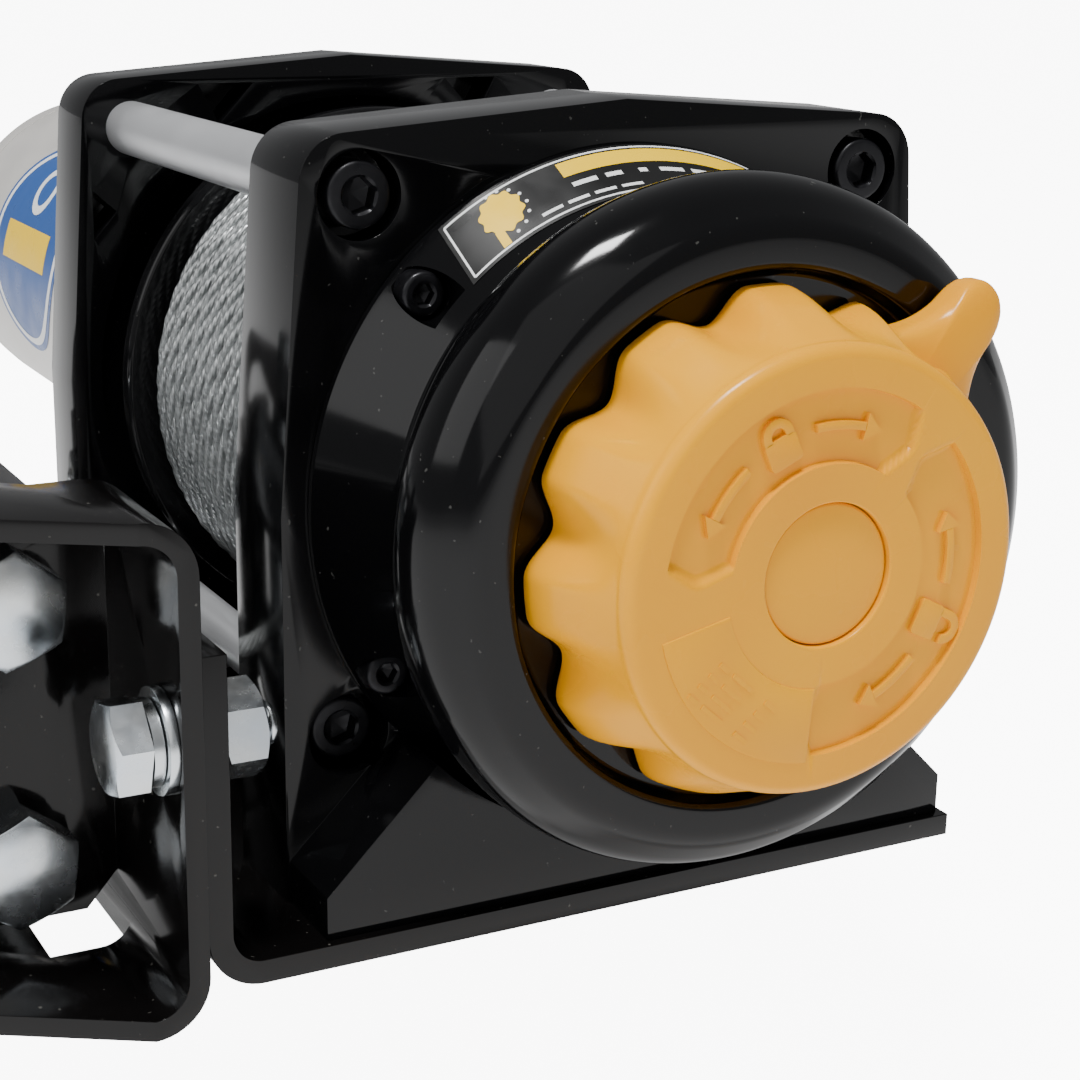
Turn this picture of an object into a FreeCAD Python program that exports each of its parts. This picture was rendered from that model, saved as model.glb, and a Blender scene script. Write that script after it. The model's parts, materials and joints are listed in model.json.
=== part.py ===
"""Electric drum winch on an angle mounting plate, with a roller fairlead and a free-spool knob.

The drum turns about an axis along X. The gearbox and its knob are at the +X end and the motor is
at the -X end. The rope leaves towards -Y. The origin is the centre of the vehicle bolt pattern,
on the underside of the mounting plate, and Z is up.
"""
import FreeCAD, Part
import os
import re
import Sketcher

SIZES = {
    # drum axis and rope
    "axis_z": 65.5, "core_r": 25.0, "drum_bore_r": 21.0, "drum_wall": 3.4, "drum_flange_r": 50.4,
    "wound_r": 46.8, "drum_left": -34.3, "drum_right": 42.6, "journal_r": 24.0, "journal_run": 7.4,
    "rope_d": 4.8, "bush_wall": 3.0, "run_gap": 0.05,
    # end plates
    "plate_half": 57.0, "plate_shoulder_z": 120.8, "plate_peak_z": 124.8, "shoulder_inset": 4.0,
    "gear_in": 43.1, "gear_out": 62.5, "motor_in": -43.1, "motor_out": -58.3,
    "foot_front": 77.4, "foot_half": 56.5, "foot_side_z": 10.7, "foot_top_z": 34.0,
    "corner_r": 7.5, "foot_lap": 4.0, "drum_pocket_r": 51.6, "drum_pocket_deep": 2.2,
    "rib_deep": 8.0,
    # mounting plate
    "base_t": 3.8, "base_half": 79.0, "base_front": -75.6, "base_back": 57.9, "flange_top": 51.9,
    "bend_r": 8.6, "rope_slot_half": 50.0, "rope_slot_floor": 12.0, "vehicle_x": 56.0,
    "vehicle_y": 80.0, "vehicle_hole_r": 4.5, "foot_x": 61.9, "foot_y": 38.1, "foot_hole_r": 4.3,
    "foot_hole_top": 18.0, "foot_bolt_end": 16.0, "foot_nut_half": 6.5, "foot_nut_low": 8.1,
    "foot_nut_high": 14.5, "slot_corner_r": 4.0, "gap": 0.1,
    # gear housing
    "house_r": 52.8, "lip": 1.4, "neck_r": 45.2, "neck_start": 76.8, "neck_end": 79.5,
    "dome_start": 89.5, "dome_r": 51.9, "dome_end": 97.6, "crest_x": 103.9, "crest_r": 45.4,
    "recess_r": 38.7, "recess_x": 100.6, "cavity_r": 41.8, "ring_end": 91.2, "wall_in": 97.5,
    "hub_r": 14.0, "hub_end": 110.0, "spring_room_r": 10.4, "stem_r": 6.0,
    "screw_circle": 49.0, "screw_head_r": 3.4, "screw_head_h": 3.6, "screw_seat": 64.6, "small_screw_r": 2.0,
    "collar_h": 3.5,
    # gear train
    "module": 1.5, "sun_teeth": 12, "planet_teeth": 18, "ring_teeth": 48, "ring_outer": 41.6,
    "ring_start": 54.0, "pin_r": 3.5, "planet_bore_r": 3.56, "face_w": 8.6, "carrier_t": 2.6,
    "carrier_r": 32.0, "hex_af": 8.0, "hex_room_r": 5.2, "drum_hub_af": 34.0,
    "lock_teeth": 6, "lock_half": 2.9, "lock_room": 0.3, "lock_in_r": 39.0, "lock_deep": 2.2,
    # clutch knob
    "knob_back": 101.4, "knob_front": 120.7, "knob_face_r": 32.0, "knob_skirt_r": 37.4,
    "knob_wall": 3.0, "flute_r": 6.6, "flute_out": 40.2, "flute_start": 75.0, "flute_pitch": 31.5,
    "flutes": 10, "pointer_angle": 46.0, "pointer_tip_r": 49.6, "pointer_half": 4.8, "pointer_flare": 3.0,
    "pointer_back": 104.8, "pointer_front": 111.0, "ring_out_r": 26.0, "ring_in_r": 15.8,
    "mark_deep": 0.8, "cap_r": 10.1, "cap_deep": 2.4, "cap_below": 0.7, "clutch_travel": 3.0,
    # tie rods
    "rod_r": 4.9, "low_rod_r": 4.1, "rod_y": 44.1, "rod_z": 112.3, "low_y": 46.4, "low_z": 29.9,
    "screw_r": 3.0, "screw_grip": 12.0, "socket_head_r": 5.0, "socket_head_h": 6.0, "socket_af": 5.0,
    "socket_deep": 3.0, "head_pocket_r": 6.6, "low_pocket": 3.2,
    # brake inside the drum
    "brake_hub_r": 12.0, "brake_hub_left": -41.2, "brake_hub_right": -12.0, "shaft_joint_left": -30.0,
    "shaft_joint_right": -23.0, "brake_spring_left": -38.0, "brake_spring_right": -16.0, "brake_spring_r": 19.5,
    # motor
    "can_r": 38.0, "can_t": 2.2, "can_end": -203.0, "cap_end": -212.0, "magnet_in_r": 30.0,
    "magnet_left": -165.0, "magnet_right": -88.0, "rotor_r": 28.6, "rotor_left": -160.0,
    "rotor_right": -94.0, "commutator_r": 13.0, "commutator_left": -184.0,
    "commutator_right": -166.0, "motor_shaft_r": 5.0, "bearing_r": 13.0, "bearing_w": 7.0, "pole_gap": 10.0,
    "slot_wide": 2.8, "slot_deep": 9.0, "rotor_slots": 12, "brush_wide": 7.0, "stud_r": 3.0,
    "stud_collar_r": 3.2, "stud_first": 20.0, "stud_second": 44.0, "stud_nut_low": 3.0, "stud_nut_high": 8.0, "stud_out": 17.0,
    "stud_nut_af": 10.0,
    # fairlead
    "fair_t": 3.2, "fair_half": 79.5, "fair_top": 72.3, "fair_bottom": -5.3, "fair_bend_r": 8.5,
    "fair_front": -130.0, "fair_nose_half": 52.0, "notch_half": 53.0, "notch_front": -92.0,
    "cheek_out": 45.5, "cheek_root_low": 10.5, "cheek_root_high": 60.5, "cheek_low": 1.0,
    "cheek_high": 64.0, "cheek_front": -105.5, "roller_r": 11.0, "roller_y": -94.8,
    "roller_low_z": 11.5, "roller_high_z": 52.8, "roller_x": 32.5, "roller_front_y": -117.6,
    "roller_gap": 0.5, "roller_pin_r": 5.0, "roller_bore_r": 5.07, "pin_head_af": 16.0,
    "pin_head_h": 6.4, "pin_nut_h": 8.0, "clamp_x": 71.0, "clamp_z": 37.5, "clamp_r": 4.0,
    "clamp_head_af": 13.0, "clamp_head_h": 5.3, "clamp_nut_h": 6.8, "flat_washer_t": 1.6,
    "spring_washer_t": 2.1, "washer_r": 8.0,
    # rope end and hook
    "tail_z": 25.4, "tail_y": -139.0, "lead_clear": 22.5, "eye_y": -158.0, "eye_z": 26.4, "eye_r": 11.0,
    "eye_t": 7.0, "hook_pin_r": 4.0, "bowl_z": -12.6, "bowl_out_r": 18.0, "bowl_in_r": 9.5, "hook_half": 5.5,
    "ear_half": 9.0, "latch_y": -158.9, "latch_z": 5.8, "latch_half": 3.6,
}
FUNCTIONS = {"sin", "cos", "tan", "sqrt"}
AXIS_HEIGHT = "axis_z"

doc = FreeCAD.newDocument("Winch")
sheet = doc.addObject("Spreadsheet::Sheet", "Size")
for row, (alias, number) in enumerate(SIZES.items(), start=1):
    sheet.set("A%d" % row, alias)
    sheet.set("B%d" % row, str(number))
    sheet.setAlias("B%d" % row, alias)
doc.recompute()


def value(text):
    """The number that an expression in the sheet's aliases gives."""
    return float(sheet.evalExpression(text))


def bound(text):
    """The same expression as an object outside the sheet has to write it."""
    return re.sub(r"[a-z][a-z0-9_]*", lambda m: m[0] if m[0] in FUNCTIONS else "Size." + m[0], text)


def new_body(label, height=None):
    """A body for one sub-part. With a height, its own X axis lies at that height."""
    body = doc.addObject("PartDesign::Body", label)
    body.Label = label
    body.AllowCompound = True
    if height:
        body.setExpression("Placement.Base.z", bound(height))
    return body


def pin_point(sketch, shape, end, place):
    """Holds one end or centre of a sketch shape at a place given by two expressions."""
    for kind, other_axis, text in (("DistanceX", -2, place[0]), ("DistanceY", -1, place[1])):
        number = value(text)
        if abs(number) < 1e-9:
            sketch.addConstraint(Sketcher.Constraint("PointOnObject", shape, end, other_axis))
            continue
        index = sketch.addConstraint(Sketcher.Constraint(kind, -1, 1, shape, end, number))
        sketch.setExpression("Constraints[%d]" % index, bound(text))


def vector(place):
    return FreeCAD.Vector(value(place[0]), value(place[1]), 0)


def add_circle(sketch, centre, radius):
    shape = sketch.addGeometry(Part.Circle(vector(centre), FreeCAD.Vector(0, 0, 1), value(radius)))
    pin_point(sketch, shape, 3, centre)
    index = sketch.addConstraint(Sketcher.Constraint("Radius", shape, value(radius)))
    sketch.setExpression("Constraints[%d]" % index, bound(radius))


def add_polygon(sketch, places):
    first = sketch.GeometryCount
    count = len(places)
    for i, place in enumerate(places):
        sketch.addGeometry(Part.LineSegment(vector(place), vector(places[(i + 1) % count])))
    for i, place in enumerate(places):
        following = first + (i + 1) % count
        sketch.addConstraint(Sketcher.Constraint("Coincident", first + i, 2, following, 1))
        pin_point(sketch, first + i, 1, place)


def new_sketch(body, plane, outlines, offset="0"):
    """A sketch on one of the body's origin planes, moved along the plane's normal.

    An outline is a list of corners, or a centre and radius: ((x, y), radius).
    """
    sketch = body.newObject("Sketcher::SketchObject", body.Label + "_sketch")
    origin_plane = [f for f in body.Origin.OriginFeatures if f.Role == plane + "_Plane"][0]
    sketch.AttachmentSupport = [(origin_plane, "")]
    sketch.MapMode = "FlatFace"
    if offset != "0":
        sketch.setExpression(".AttachmentOffset.Base.z", bound(offset))
    for outline in outlines:
        if isinstance(outline, tuple):
            add_circle(sketch, *outline)
        else:
            add_polygon(sketch, outline)
    return sketch


def extrude(body, plane, outlines, low, high, cut=False):
    """Adds or cuts a prism from low to high along the global axis that the plane faces."""
    offset = "-(%s)" % high if plane == "XZ" else low
    sketch = new_sketch(body, plane, outlines, offset)
    feature = body.newObject("PartDesign::Pocket" if cut else "PartDesign::Pad", body.Label + "_run")
    feature.Profile = sketch
    feature.Reversed = cut
    feature.setExpression("Length", bound("(%s) - (%s)" % (high, low)))
    return feature


def revolve(body, outlines, cut=False):
    """Adds or cuts a turned shape about the body's X axis. Corners are (x, radius)."""
    sketch = new_sketch(body, "XZ", outlines)
    feature = body.newObject("PartDesign::Groove" if cut else "PartDesign::Revolution", body.Label + "_turn")
    feature.Profile = sketch
    feature.ReferenceAxis = (sketch, ["H_Axis"])
    feature.Angle = 360
    return feature


def repeat(body, feature, count, angle=None):
    """Repeats one feature about the body's X axis, over a full turn or over an angle."""
    pattern = body.newObject("PartDesign::PolarPattern", body.Label + "_pattern")
    pattern.Originals = [feature]
    axis = [f for f in body.Origin.OriginFeatures if f.Role == "X_Axis"][0]
    pattern.Axis = (axis, [""])
    pattern.setExpression("Occurrences", bound(count))
    if angle:
        pattern.setExpression("Angle", bound(angle))
    else:
        pattern.Angle = 360
    body.Tip = pattern
    return pattern


def round_edges(body, radius, chosen, kind="Fillet"):
    """Rounds or bevels the edges of the body's last feature that the test picks."""
    doc.recompute()
    base = body.Tip
    names = ["Edge%d" % i for i, edge in enumerate(base.Shape.Edges, start=1) if chosen(edge)]
    if not names:
        raise RuntimeError("no edge to round on " + body.Label)
    feature = body.newObject("PartDesign::" + kind, body.Label + "_edges")
    feature.Base = (base, names)
    feature.setExpression("Radius" if kind == "Fillet" else "Size", bound(radius))


def straight_along(axis, test=lambda middle: True):
    """Picks straight edges along an axis (0, 1 or 2) whose middle point passes a test."""
    def chosen(edge):
        if edge.Curve.TypeId != "Part::GeomLine":
            return False
        first, last = edge.Vertexes[0].Point, edge.Vertexes[-1].Point
        across = [abs(first[i] - last[i]) for i in range(3) if i != axis]
        middle = (first + last) * 0.5
        return max(across) < 1e-6 and test(middle)
    return chosen


def rims(*corners):
    """Picks circular edges about the X axis at the given (x, radius) corners."""
    wanted = [(value(x), value(radius)) for x, radius in corners]

    def chosen(edge):
        if edge.Curve.TypeId != "Part::GeomCircle":
            return False
        here = (edge.Curve.Center.x, edge.Curve.Radius)
        return any(abs(here[0] - x) < 1e-4 and abs(here[1] - r) < 1e-4 for x, r in wanted)
    return chosen


def ring(x_low, x_high, inner, outer):
    """The (x, radius) corners of a plain ring about the X axis."""
    return [(x_low, inner), (x_low, outer), (x_high, outer), (x_high, inner)]


def hexagon(centre, across_flats, turn="0"):
    corners = []
    for i in range(6):
        angle = "%s + %d" % (turn, 60 * i)
        reach = "(%s) / 2 / cos(30)" % across_flats
        corners.append(("%s + %s * cos(%s)" % (centre[0], reach, angle),
                        "%s + %s * sin(%s)" % (centre[1], reach, angle)))
    return corners


def box(x_low, x_high, y_low, y_high):
    return [(x_low, y_low), (x_high, y_low), (x_high, y_high), (x_low, y_high)]


def mirrored(text):
    return text, "-(%s)" % text


CENTRE = ("0", "0")
HIGH_RODS = [(y, "rod_z") for y in mirrored("rod_y")]
LOW_RODS = [(y, "low_z") for y in mirrored("low_y")]
ALL_RODS = HIGH_RODS + LOW_RODS
FEET = [(x, y) for x in mirrored("foot_x") for y in mirrored("foot_y")]


# frame: mounting plate and the two end plates

def mounting_plate():
    body = new_body("mounting_plate")
    section = [("base_front", "0"), ("base_back", "0"), ("base_back", "base_t"),
               ("base_front + base_t", "base_t"), ("base_front + base_t", "flange_top"),
               ("base_front", "flange_top")]
    extrude(body, "YZ", [section], "-base_half", "base_half")
    front, thick = value("base_front"), value("base_t")
    round_edges(body, "bend_r", straight_along(0, lambda m: m.y < front + 0.01 and m.z < 0.01))
    round_edges(body, "bend_r - base_t", straight_along(
        0, lambda m: abs(m.y - front - thick) < 0.01 and abs(m.z - thick) < 0.01))
    extrude(body, "XZ", [box("-rope_slot_half", "rope_slot_half", "rope_slot_floor", "flange_top + 5")],
            "base_front - 1", "base_front + base_t + 1", cut=True)
    half = value("rope_slot_half")
    round_edges(body, "slot_corner_r", straight_along(1, lambda m: abs(abs(m.x) - half) < 0.01))
    clamps = [((x, "clamp_z"), "clamp_r + 0.3") for x in mirrored("clamp_x")]
    extrude(body, "XZ", clamps, "base_front - 1", "base_front + base_t + 1", cut=True)
    feet = [(place, "foot_hole_r") for place in FEET]
    corners = [(x, y) for x in mirrored("vehicle_x / 2") for y in mirrored("vehicle_y / 2")]
    vehicle = [(place, "vehicle_hole_r") for place in corners]
    extrude(body, "XY", feet + vehicle, "-1", "base_t + 1", cut=True)
    bolt = value("foot_hole_r")
    round_edges(body, "base_t - 0.3", lambda edge: edge.Curve.TypeId == "Part::GeomCircle"
                and abs(edge.Curve.Radius - bolt) < 1e-4 and edge.Curve.Center.z < 0.01, "Chamfer")
    return body


def plate_outline():
    """Upright plate with slanted sides and a low gable top."""
    outline = []
    for sign in ("-", ""):
        corners = [(sign + "plate_half", "base_t"), (sign + "plate_half", "axis_z"),
                   (sign + "(plate_half - shoulder_inset)", "plate_shoulder_z")]
        outline += corners if sign == "-" else corners[::-1]
    outline.insert(3, ("0", "plate_peak_z"))
    return outline


def foot(body, low, high):
    """A foot block under an end plate, with sloping shoulders."""
    rise = "(foot_top_z - foot_side_z)"
    outline = [("-foot_half", "base_t"), ("-foot_half", "foot_side_z"),
               ("-foot_half + " + rise, "foot_top_z"), ("foot_half - " + rise, "foot_top_z"),
               ("foot_half", "foot_side_z"), ("foot_half", "base_t")]
    extrude(body, "YZ", [outline], low, high)


def foot_holes(body, side, inner_face):
    """Bolt holes up into the foot, and the slots from its inner face that hold its square nuts."""
    holes = [((side + "foot_x", y), "foot_hole_r") for y in mirrored("foot_y")]
    extrude(body, "XY", holes, "base_t - 1", "foot_hole_top", cut=True)
    ends = [inner_face, "%s(foot_x + foot_nut_half + 2 * gap)" % side]
    low, high = ends if side == "" else ends[::-1]
    nut = "(foot_nut_half + 2 * gap)"
    slots = [box(low, high, "%s - %s" % (y, nut), "%s + %s" % (y, nut)) for y in mirrored("foot_y")]
    extrude(body, "XY", slots, "foot_nut_low - gap", "foot_nut_high + gap", cut=True)


def gearbox_end_plate():
    body = new_body("gearbox_end_plate")
    extrude(body, "YZ", [plate_outline()], "gear_in", "gear_out")
    shoulder = value("plate_shoulder_z")
    round_edges(body, "corner_r", straight_along(0, lambda m: abs(m.z - shoulder) < 0.01))
    foot(body, "gear_out - foot_lap", "foot_front")
    centre = ("0", "axis_z")
    extrude(body, "YZ", [(centre, "journal_r + bush_wall")], "gear_in - 1", "ring_start", cut=True)
    extrude(body, "YZ", [(centre, "cavity_r")], "gear_in + journal_run", "foot_front + 1", cut=True)
    extrude(body, "YZ", [(centre, "house_r + 0.2")], "gear_out", "foot_front + 1", cut=True)
    face = "gear_out + 1"
    extrude(body, "YZ", [(centre, "drum_pocket_r")], "gear_in - 1", "gear_in + drum_pocket_deep", cut=True)
    extrude(body, "YZ", [(place, "screw_r + 0.3") for place in ALL_RODS], "gear_in - 1", face, cut=True)
    high_heads = [(place, "head_pocket_r") for place in HIGH_RODS]
    low_heads = [(place, "head_pocket_r") for place in LOW_RODS]
    extrude(body, "YZ", high_heads, "gear_out - socket_head_h", face, cut=True)
    extrude(body, "YZ", low_heads, "gear_out - socket_head_h - low_pocket", face, cut=True)
    small_holes = [(place, "small_screw_r + gap") for place in housing_screw_places()]
    extrude(body, "YZ", small_holes, "gear_in + 6", face, cut=True)
    foot_holes(body, "", "gear_in - 1")
    return body


def housing_screw_places():
    """Four screws on a circle about the drum axis, clear of the rating sticker."""
    places = []
    for angle in (42, 138, 210, 330):
        places.append(("screw_circle * cos(%d)" % angle, "axis_z + screw_circle * sin(%d)" % angle))
    return places


def motor_end_plate():
    body = new_body("motor_end_plate")
    extrude(body, "YZ", [plate_outline()], "motor_out", "motor_in")
    shoulder = value("plate_shoulder_z")
    round_edges(body, "corner_r", straight_along(0, lambda m: abs(m.z - shoulder) < 0.01))
    foot(body, "-foot_front", "motor_out + foot_lap")
    centre = ("0", "axis_z")
    extrude(body, "YZ", [(centre, "can_r + 0.6")], "-foot_front - 1", "motor_out", cut=True)
    face = "motor_in + 1"
    bush_room = [(centre, "journal_r + bush_wall")]
    extrude(body, "YZ", bush_room, "motor_in - journal_run - 0.6", face, cut=True)
    extrude(body, "YZ", [(centre, "bearing_r")], "motor_out - 1", face, cut=True)
    extrude(body, "YZ", [(centre, "drum_pocket_r")], "motor_in - drum_pocket_deep", face, cut=True)
    extrude(body, "YZ", [(place, "screw_r + 0.3") for place in ALL_RODS], "motor_out - 1", face, cut=True)
    heads = [(place, "head_pocket_r") for place in ALL_RODS]
    extrude(body, "YZ", heads, "-foot_front - 1", "motor_out + socket_head_h", cut=True)
    extrude(body, "YZ", rib_pockets(), "motor_in - rib_deep", face, cut=True)
    foot_holes(body, "-", "motor_in + 1")
    return body


def rib_pockets():
    """Triangular lightening pockets beside the upper corners, open towards the drum."""
    pockets = []
    for sign in ("-", ""):
        pockets.append([(sign + "52", "92"), (sign + "52", "101"), (sign + "47.5", "97")])
        pockets.append([(sign + "31", "120"), (sign + "20", "120"), (sign + "27", "112.5")])
    return pockets


# gearbox

def gear_housing():
    body = new_body("gear_housing", AXIS_HEIGHT)
    profile = [("gear_out", "cavity_r"), ("gear_out", "house_r"), ("gear_out + lip", "house_r"),
               ("neck_start", "neck_r"), ("neck_end", "neck_r"), ("dome_start", "dome_r"),
               ("dome_end", "dome_r"), ("crest_x", "crest_r"), ("crest_x", "recess_r + 0.8"),
               ("recess_x", "recess_r"), ("recess_x", "hub_r"), ("hub_end", "hub_r"),
               ("hub_end", "stem_r + run_gap"), ("hub_end - collar_h", "stem_r + run_gap"),
               ("hub_end - collar_h", "spring_room_r"), ("wall_in", "spring_room_r"),
               ("wall_in", "cavity_r")]
    revolve(body, [profile])
    round_edges(body, "5", rims(("dome_start", "dome_r"), ("dome_end", "dome_r")))
    round_edges(body, "3", rims(("crest_x", "crest_r"), ("neck_end", "neck_r")))
    round_edges(body, "1.2", rims(("crest_x", "recess_r + 0.8")))
    heads = [local(place) for place in housing_screw_places()]
    holes = [(place, "small_screw_r + gap") for place in heads]
    pockets = [(place, "screw_head_r + 3 * gap") for place in heads]
    extrude(body, "YZ", holes, "gear_out - 1", "screw_seat + 1", cut=True)
    extrude(body, "YZ", pockets, "screw_seat", "screw_seat + 9", cut=True)
    return body


def local(place):
    """A (y, z) place on the body whose X axis is the drum axis."""
    return place[0], "%s - axis_z" % place[1]


def housing_screws():
    body = new_body("housing_screws", AXIS_HEIGHT)
    places = [local(place) for place in housing_screw_places()]
    top = "screw_seat + screw_head_h"
    extrude(body, "YZ", [(place, "small_screw_r") for place in places], "gear_in + 8", "screw_seat + 0.5")
    extrude(body, "YZ", [(place, "screw_head_r") for place in places], "screw_seat", top)
    extrude(body, "YZ", [hexagon(place, "3") for place in places], top + " - 2", top + " + 1", cut=True)
    return body


def tooth(teeth, outward):
    """One straight-sided tooth, or the gap between two of a ring's teeth, centred on +Z.

    The wide end lies a little inside the blank, so that tooth and blank become one.
    """
    pitch = "module * %s / 2" % teeth
    if outward:
        wide_at, narrow_at = "(%s - 1.25 * module - 0.3)" % pitch, "(%s + module)" % pitch
        wide, narrow = "(0.53 * module)", "(0.22 * module)"
    else:
        wide_at, narrow_at = "(%s - module - 0.6)" % pitch, "(%s + 1.25 * module)" % pitch
        wide, narrow = "(0.70 * module)", "(0.35 * module)"
    return [("-" + wide, wide_at), (wide, wide_at), (narrow, narrow_at), ("-" + narrow, narrow_at)]


def add_teeth(body, teeth, x_low, x_high, outward=True, turn=None):
    """Adds the teeth of a gear whose blank is there, or cuts the gaps of a ring gear."""
    outline = tooth(teeth, outward)
    if turn:
        outline = turned(outline, turn)
    feature = extrude(body, "YZ", [outline], x_low, x_high, cut=not outward)
    repeat(body, feature, teeth)


def ring_gear():
    body = new_body("ring_gear", AXIS_HEIGHT)
    inner = "(module * ring_teeth / 2 - module)"
    extrude(body, "YZ", [(CENTRE, "ring_outer"), (CENTRE, inner)], "ring_start", "ring_end")
    add_teeth(body, "ring_teeth", "ring_start - 1", "ring_end + 1", outward=False)
    slot_half = "lock_half + lock_room"
    slot = box("-(%s)" % slot_half, slot_half, "lock_in_r - lock_room", "ring_outer + 1")
    notch = extrude(body, "YZ", [slot], "ring_end - lock_deep - lock_room", "ring_end + 1", cut=True)
    repeat(body, notch, "lock_teeth")
    return body


STAGES = {
    # first x of the planets, first x of the carrier disc behind them
    1: ("82.4", "79.2"),
    2: ("69.6", "66.4"),
    3: ("56.4", "52.6"),
}
PLANET_DISTANCE = "module * (sun_teeth + planet_teeth) / 2"


def planet_turn(index):
    """Angle of a planet's centre about the drum axis, measured from +Z towards -Y."""
    return 120 * index


def sun_teeth(body, x_low, x_high, bore):
    root = "(module * sun_teeth / 2 - 1.25 * module)"
    extrude(body, "YZ", [(CENTRE, root)], x_low, x_high)
    add_teeth(body, "sun_teeth", x_low, x_high, turn="180 / sun_teeth")
    if bore:
        extrude(body, "YZ", [bore], x_low + " - 1", x_high + " + 1", cut=True)


def turned(outline, angle):
    """The corners turned about the origin by an angle in degrees."""
    return [("(%s) * cos(%s) - (%s) * sin(%s)" % (y, angle, z, angle),
             "(%s) * sin(%s) + (%s) * cos(%s)" % (y, angle, z, angle)) for y, z in outline]


def sun_gear():
    body = new_body("sun_gear", AXIS_HEIGHT)
    start = STAGES[1][0]
    sun_teeth(body, start, start + " + face_w", hexagon(CENTRE, "hex_af + 0.1"))
    return body


def planet_gear(stage, index):
    body = new_body("planet_gear_%d%s" % (stage, "abc"[index]), AXIS_HEIGHT)
    start = STAGES[stage][0]
    end = start + " + face_w"
    root = "(module * planet_teeth / 2 - 1.25 * module)"
    extrude(body, "YZ", [(CENTRE, root)], start, end)
    add_teeth(body, "planet_teeth", start, end)
    extrude(body, "YZ", [(CENTRE, "planet_bore_r")], start + " - 1", end + " + 1", cut=True)
    angle = planet_turn(index)
    body.setExpression("Placement.Base.y", bound("-(%s) * sin(%d)" % (PLANET_DISTANCE, angle)))
    body.setExpression("Placement.Base.z", bound("axis_z + %s * cos(%d)" % (PLANET_DISTANCE, angle)))
    return body


def pin_places():
    return [("-(%s) * sin(%d)" % (PLANET_DISTANCE, planet_turn(i)),
             "%s * cos(%d)" % (PLANET_DISTANCE, planet_turn(i))) for i in range(3)]


def carrier(stage):
    """A carrier disc with its planet pins, and the next stage's sun gear or the drum hub."""
    body = new_body("planet_carrier_%d" % stage, AXIS_HEIGHT)
    planets, disc = STAGES[stage]
    disc_end = "%s + carrier_t" % disc
    extrude(body, "YZ", [(CENTRE, "carrier_r")], disc, disc_end)
    pins = [(place, "pin_r") for place in pin_places()]
    extrude(body, "YZ", pins, disc_end + " - 1", planets + " + face_w + 3 * gap")
    if stage == 3:
        extrude(body, "YZ", [hexagon(CENTRE, "drum_hub_af")], "drum_right - 2.6", disc + " + 1")
    else:
        sun_teeth(body, STAGES[stage + 1][0], disc + " + 0.5", None)
    extrude(body, "YZ", [(CENTRE, "hex_room_r")], "30", disc_end + " + 1", cut=True)
    return body


def input_shaft():
    body = new_body("input_shaft", AXIS_HEIGHT)
    extrude(body, "YZ", [hexagon(CENTRE, "hex_af")], "shaft_joint_right + 0.5",
            STAGES[1][0] + " + face_w + 0.4")
    return body


def clutch_plate():
    """A disc whose dogs lock the ring gear, on the stem that the knob draws out."""
    body = new_body("clutch_plate", AXIS_HEIGHT)
    disc = [(CENTRE, "ring_outer - lock_room"), (CENTRE, "stem_r - 2")]
    extrude(body, "YZ", disc, "ring_end + 0.5", "ring_end + 3")
    dog = box("-lock_half", "lock_half", "lock_in_r", "ring_outer - lock_room - gap")
    dogs = extrude(body, "YZ", [dog], "ring_end - lock_deep", "ring_end + 1")
    repeat(body, dogs, "lock_teeth")
    extrude(body, "YZ", [(CENTRE, "stem_r")], "ring_end + 2", "hub_end + 2.4")
    extrude(body, "YZ", [(CENTRE, "small_screw_r + gap")], "hub_end - 12", "hub_end + 3", cut=True)
    return body


def turned_part(label, *outlines):
    body = new_body(label, AXIS_HEIGHT)
    revolve(body, list(outlines))
    return body


def clutch_knob():
    body = new_body("clutch_knob", AXIS_HEIGHT)
    profile = [("knob_front - knob_wall", "0"), ("knob_front", "0"), ("knob_front", "knob_face_r"),
               ("knob_front - 2", "knob_face_r + 0.4"), ("knob_back + 6", "knob_skirt_r - 1.4"),
               ("knob_back", "knob_skirt_r"), ("knob_back", "knob_skirt_r - knob_wall - 1.5"),
               ("knob_front - knob_wall", "knob_face_r - knob_wall - 2")]
    revolve(body, [profile])
    round_edges(body, "1.1", rims(("knob_front", "knob_face_r")))
    centre = ("flute_out * cos(flute_start)", "flute_out * sin(flute_start)")
    flute = extrude(body, "YZ", [(centre, "flute_r")], "knob_back - 1", "knob_front + 1", cut=True)
    repeat(body, flute, "flutes", "flute_pitch * (flutes - 1)")
    root, half = "(knob_face_r - 5)", "pointer_half"
    flare, waist = "%s + pointer_flare" % half, "pointer_tip_r - 4"
    pointer = [(root, "-(%s)" % flare), (waist, "-" + half), ("pointer_tip_r", "-" + half + " / 2"),
               ("pointer_tip_r", half + " / 2"), (waist, half), (root, flare)]
    extrude(body, "YZ", [turned(pointer, "pointer_angle")], "pointer_back", "pointer_front")
    hollow = [(CENTRE, "knob_face_r - knob_wall - 2")]
    extrude(body, "YZ", hollow, "knob_back - 1", "knob_front - knob_wall", cut=True)
    extrude(body, "YZ", [(CENTRE, "hub_r - 5.5")], "hub_end + 6", "knob_front - 1")
    extrude(body, "YZ", [(CENTRE, "ring_out_r"), (CENTRE, "ring_in_r")],
            "knob_front - mark_deep", "knob_front + 1", cut=True)
    extrude(body, "YZ", [(CENTRE, "cap_r + 0.1")], "knob_front - cap_deep", "knob_front + 1", cut=True)
    extrude(body, "YZ", [(CENTRE, "small_screw_r + gap")], "hub_end", "knob_front", cut=True)
    return body


def knob_screw():
    """Screw through the knob into the clutch stem, under the cap."""
    body = new_body("knob_screw", AXIS_HEIGHT)
    extrude(body, "YZ", [(CENTRE, "small_screw_r")], "hub_end - 8", "knob_front - cap_deep - 2 * gap")
    return body


def knob_cap():
    body = new_body("knob_cap", AXIS_HEIGHT)
    extrude(body, "YZ", [(CENTRE, "cap_r")], "knob_front - cap_deep + gap", "knob_front - cap_below")
    return body


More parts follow.
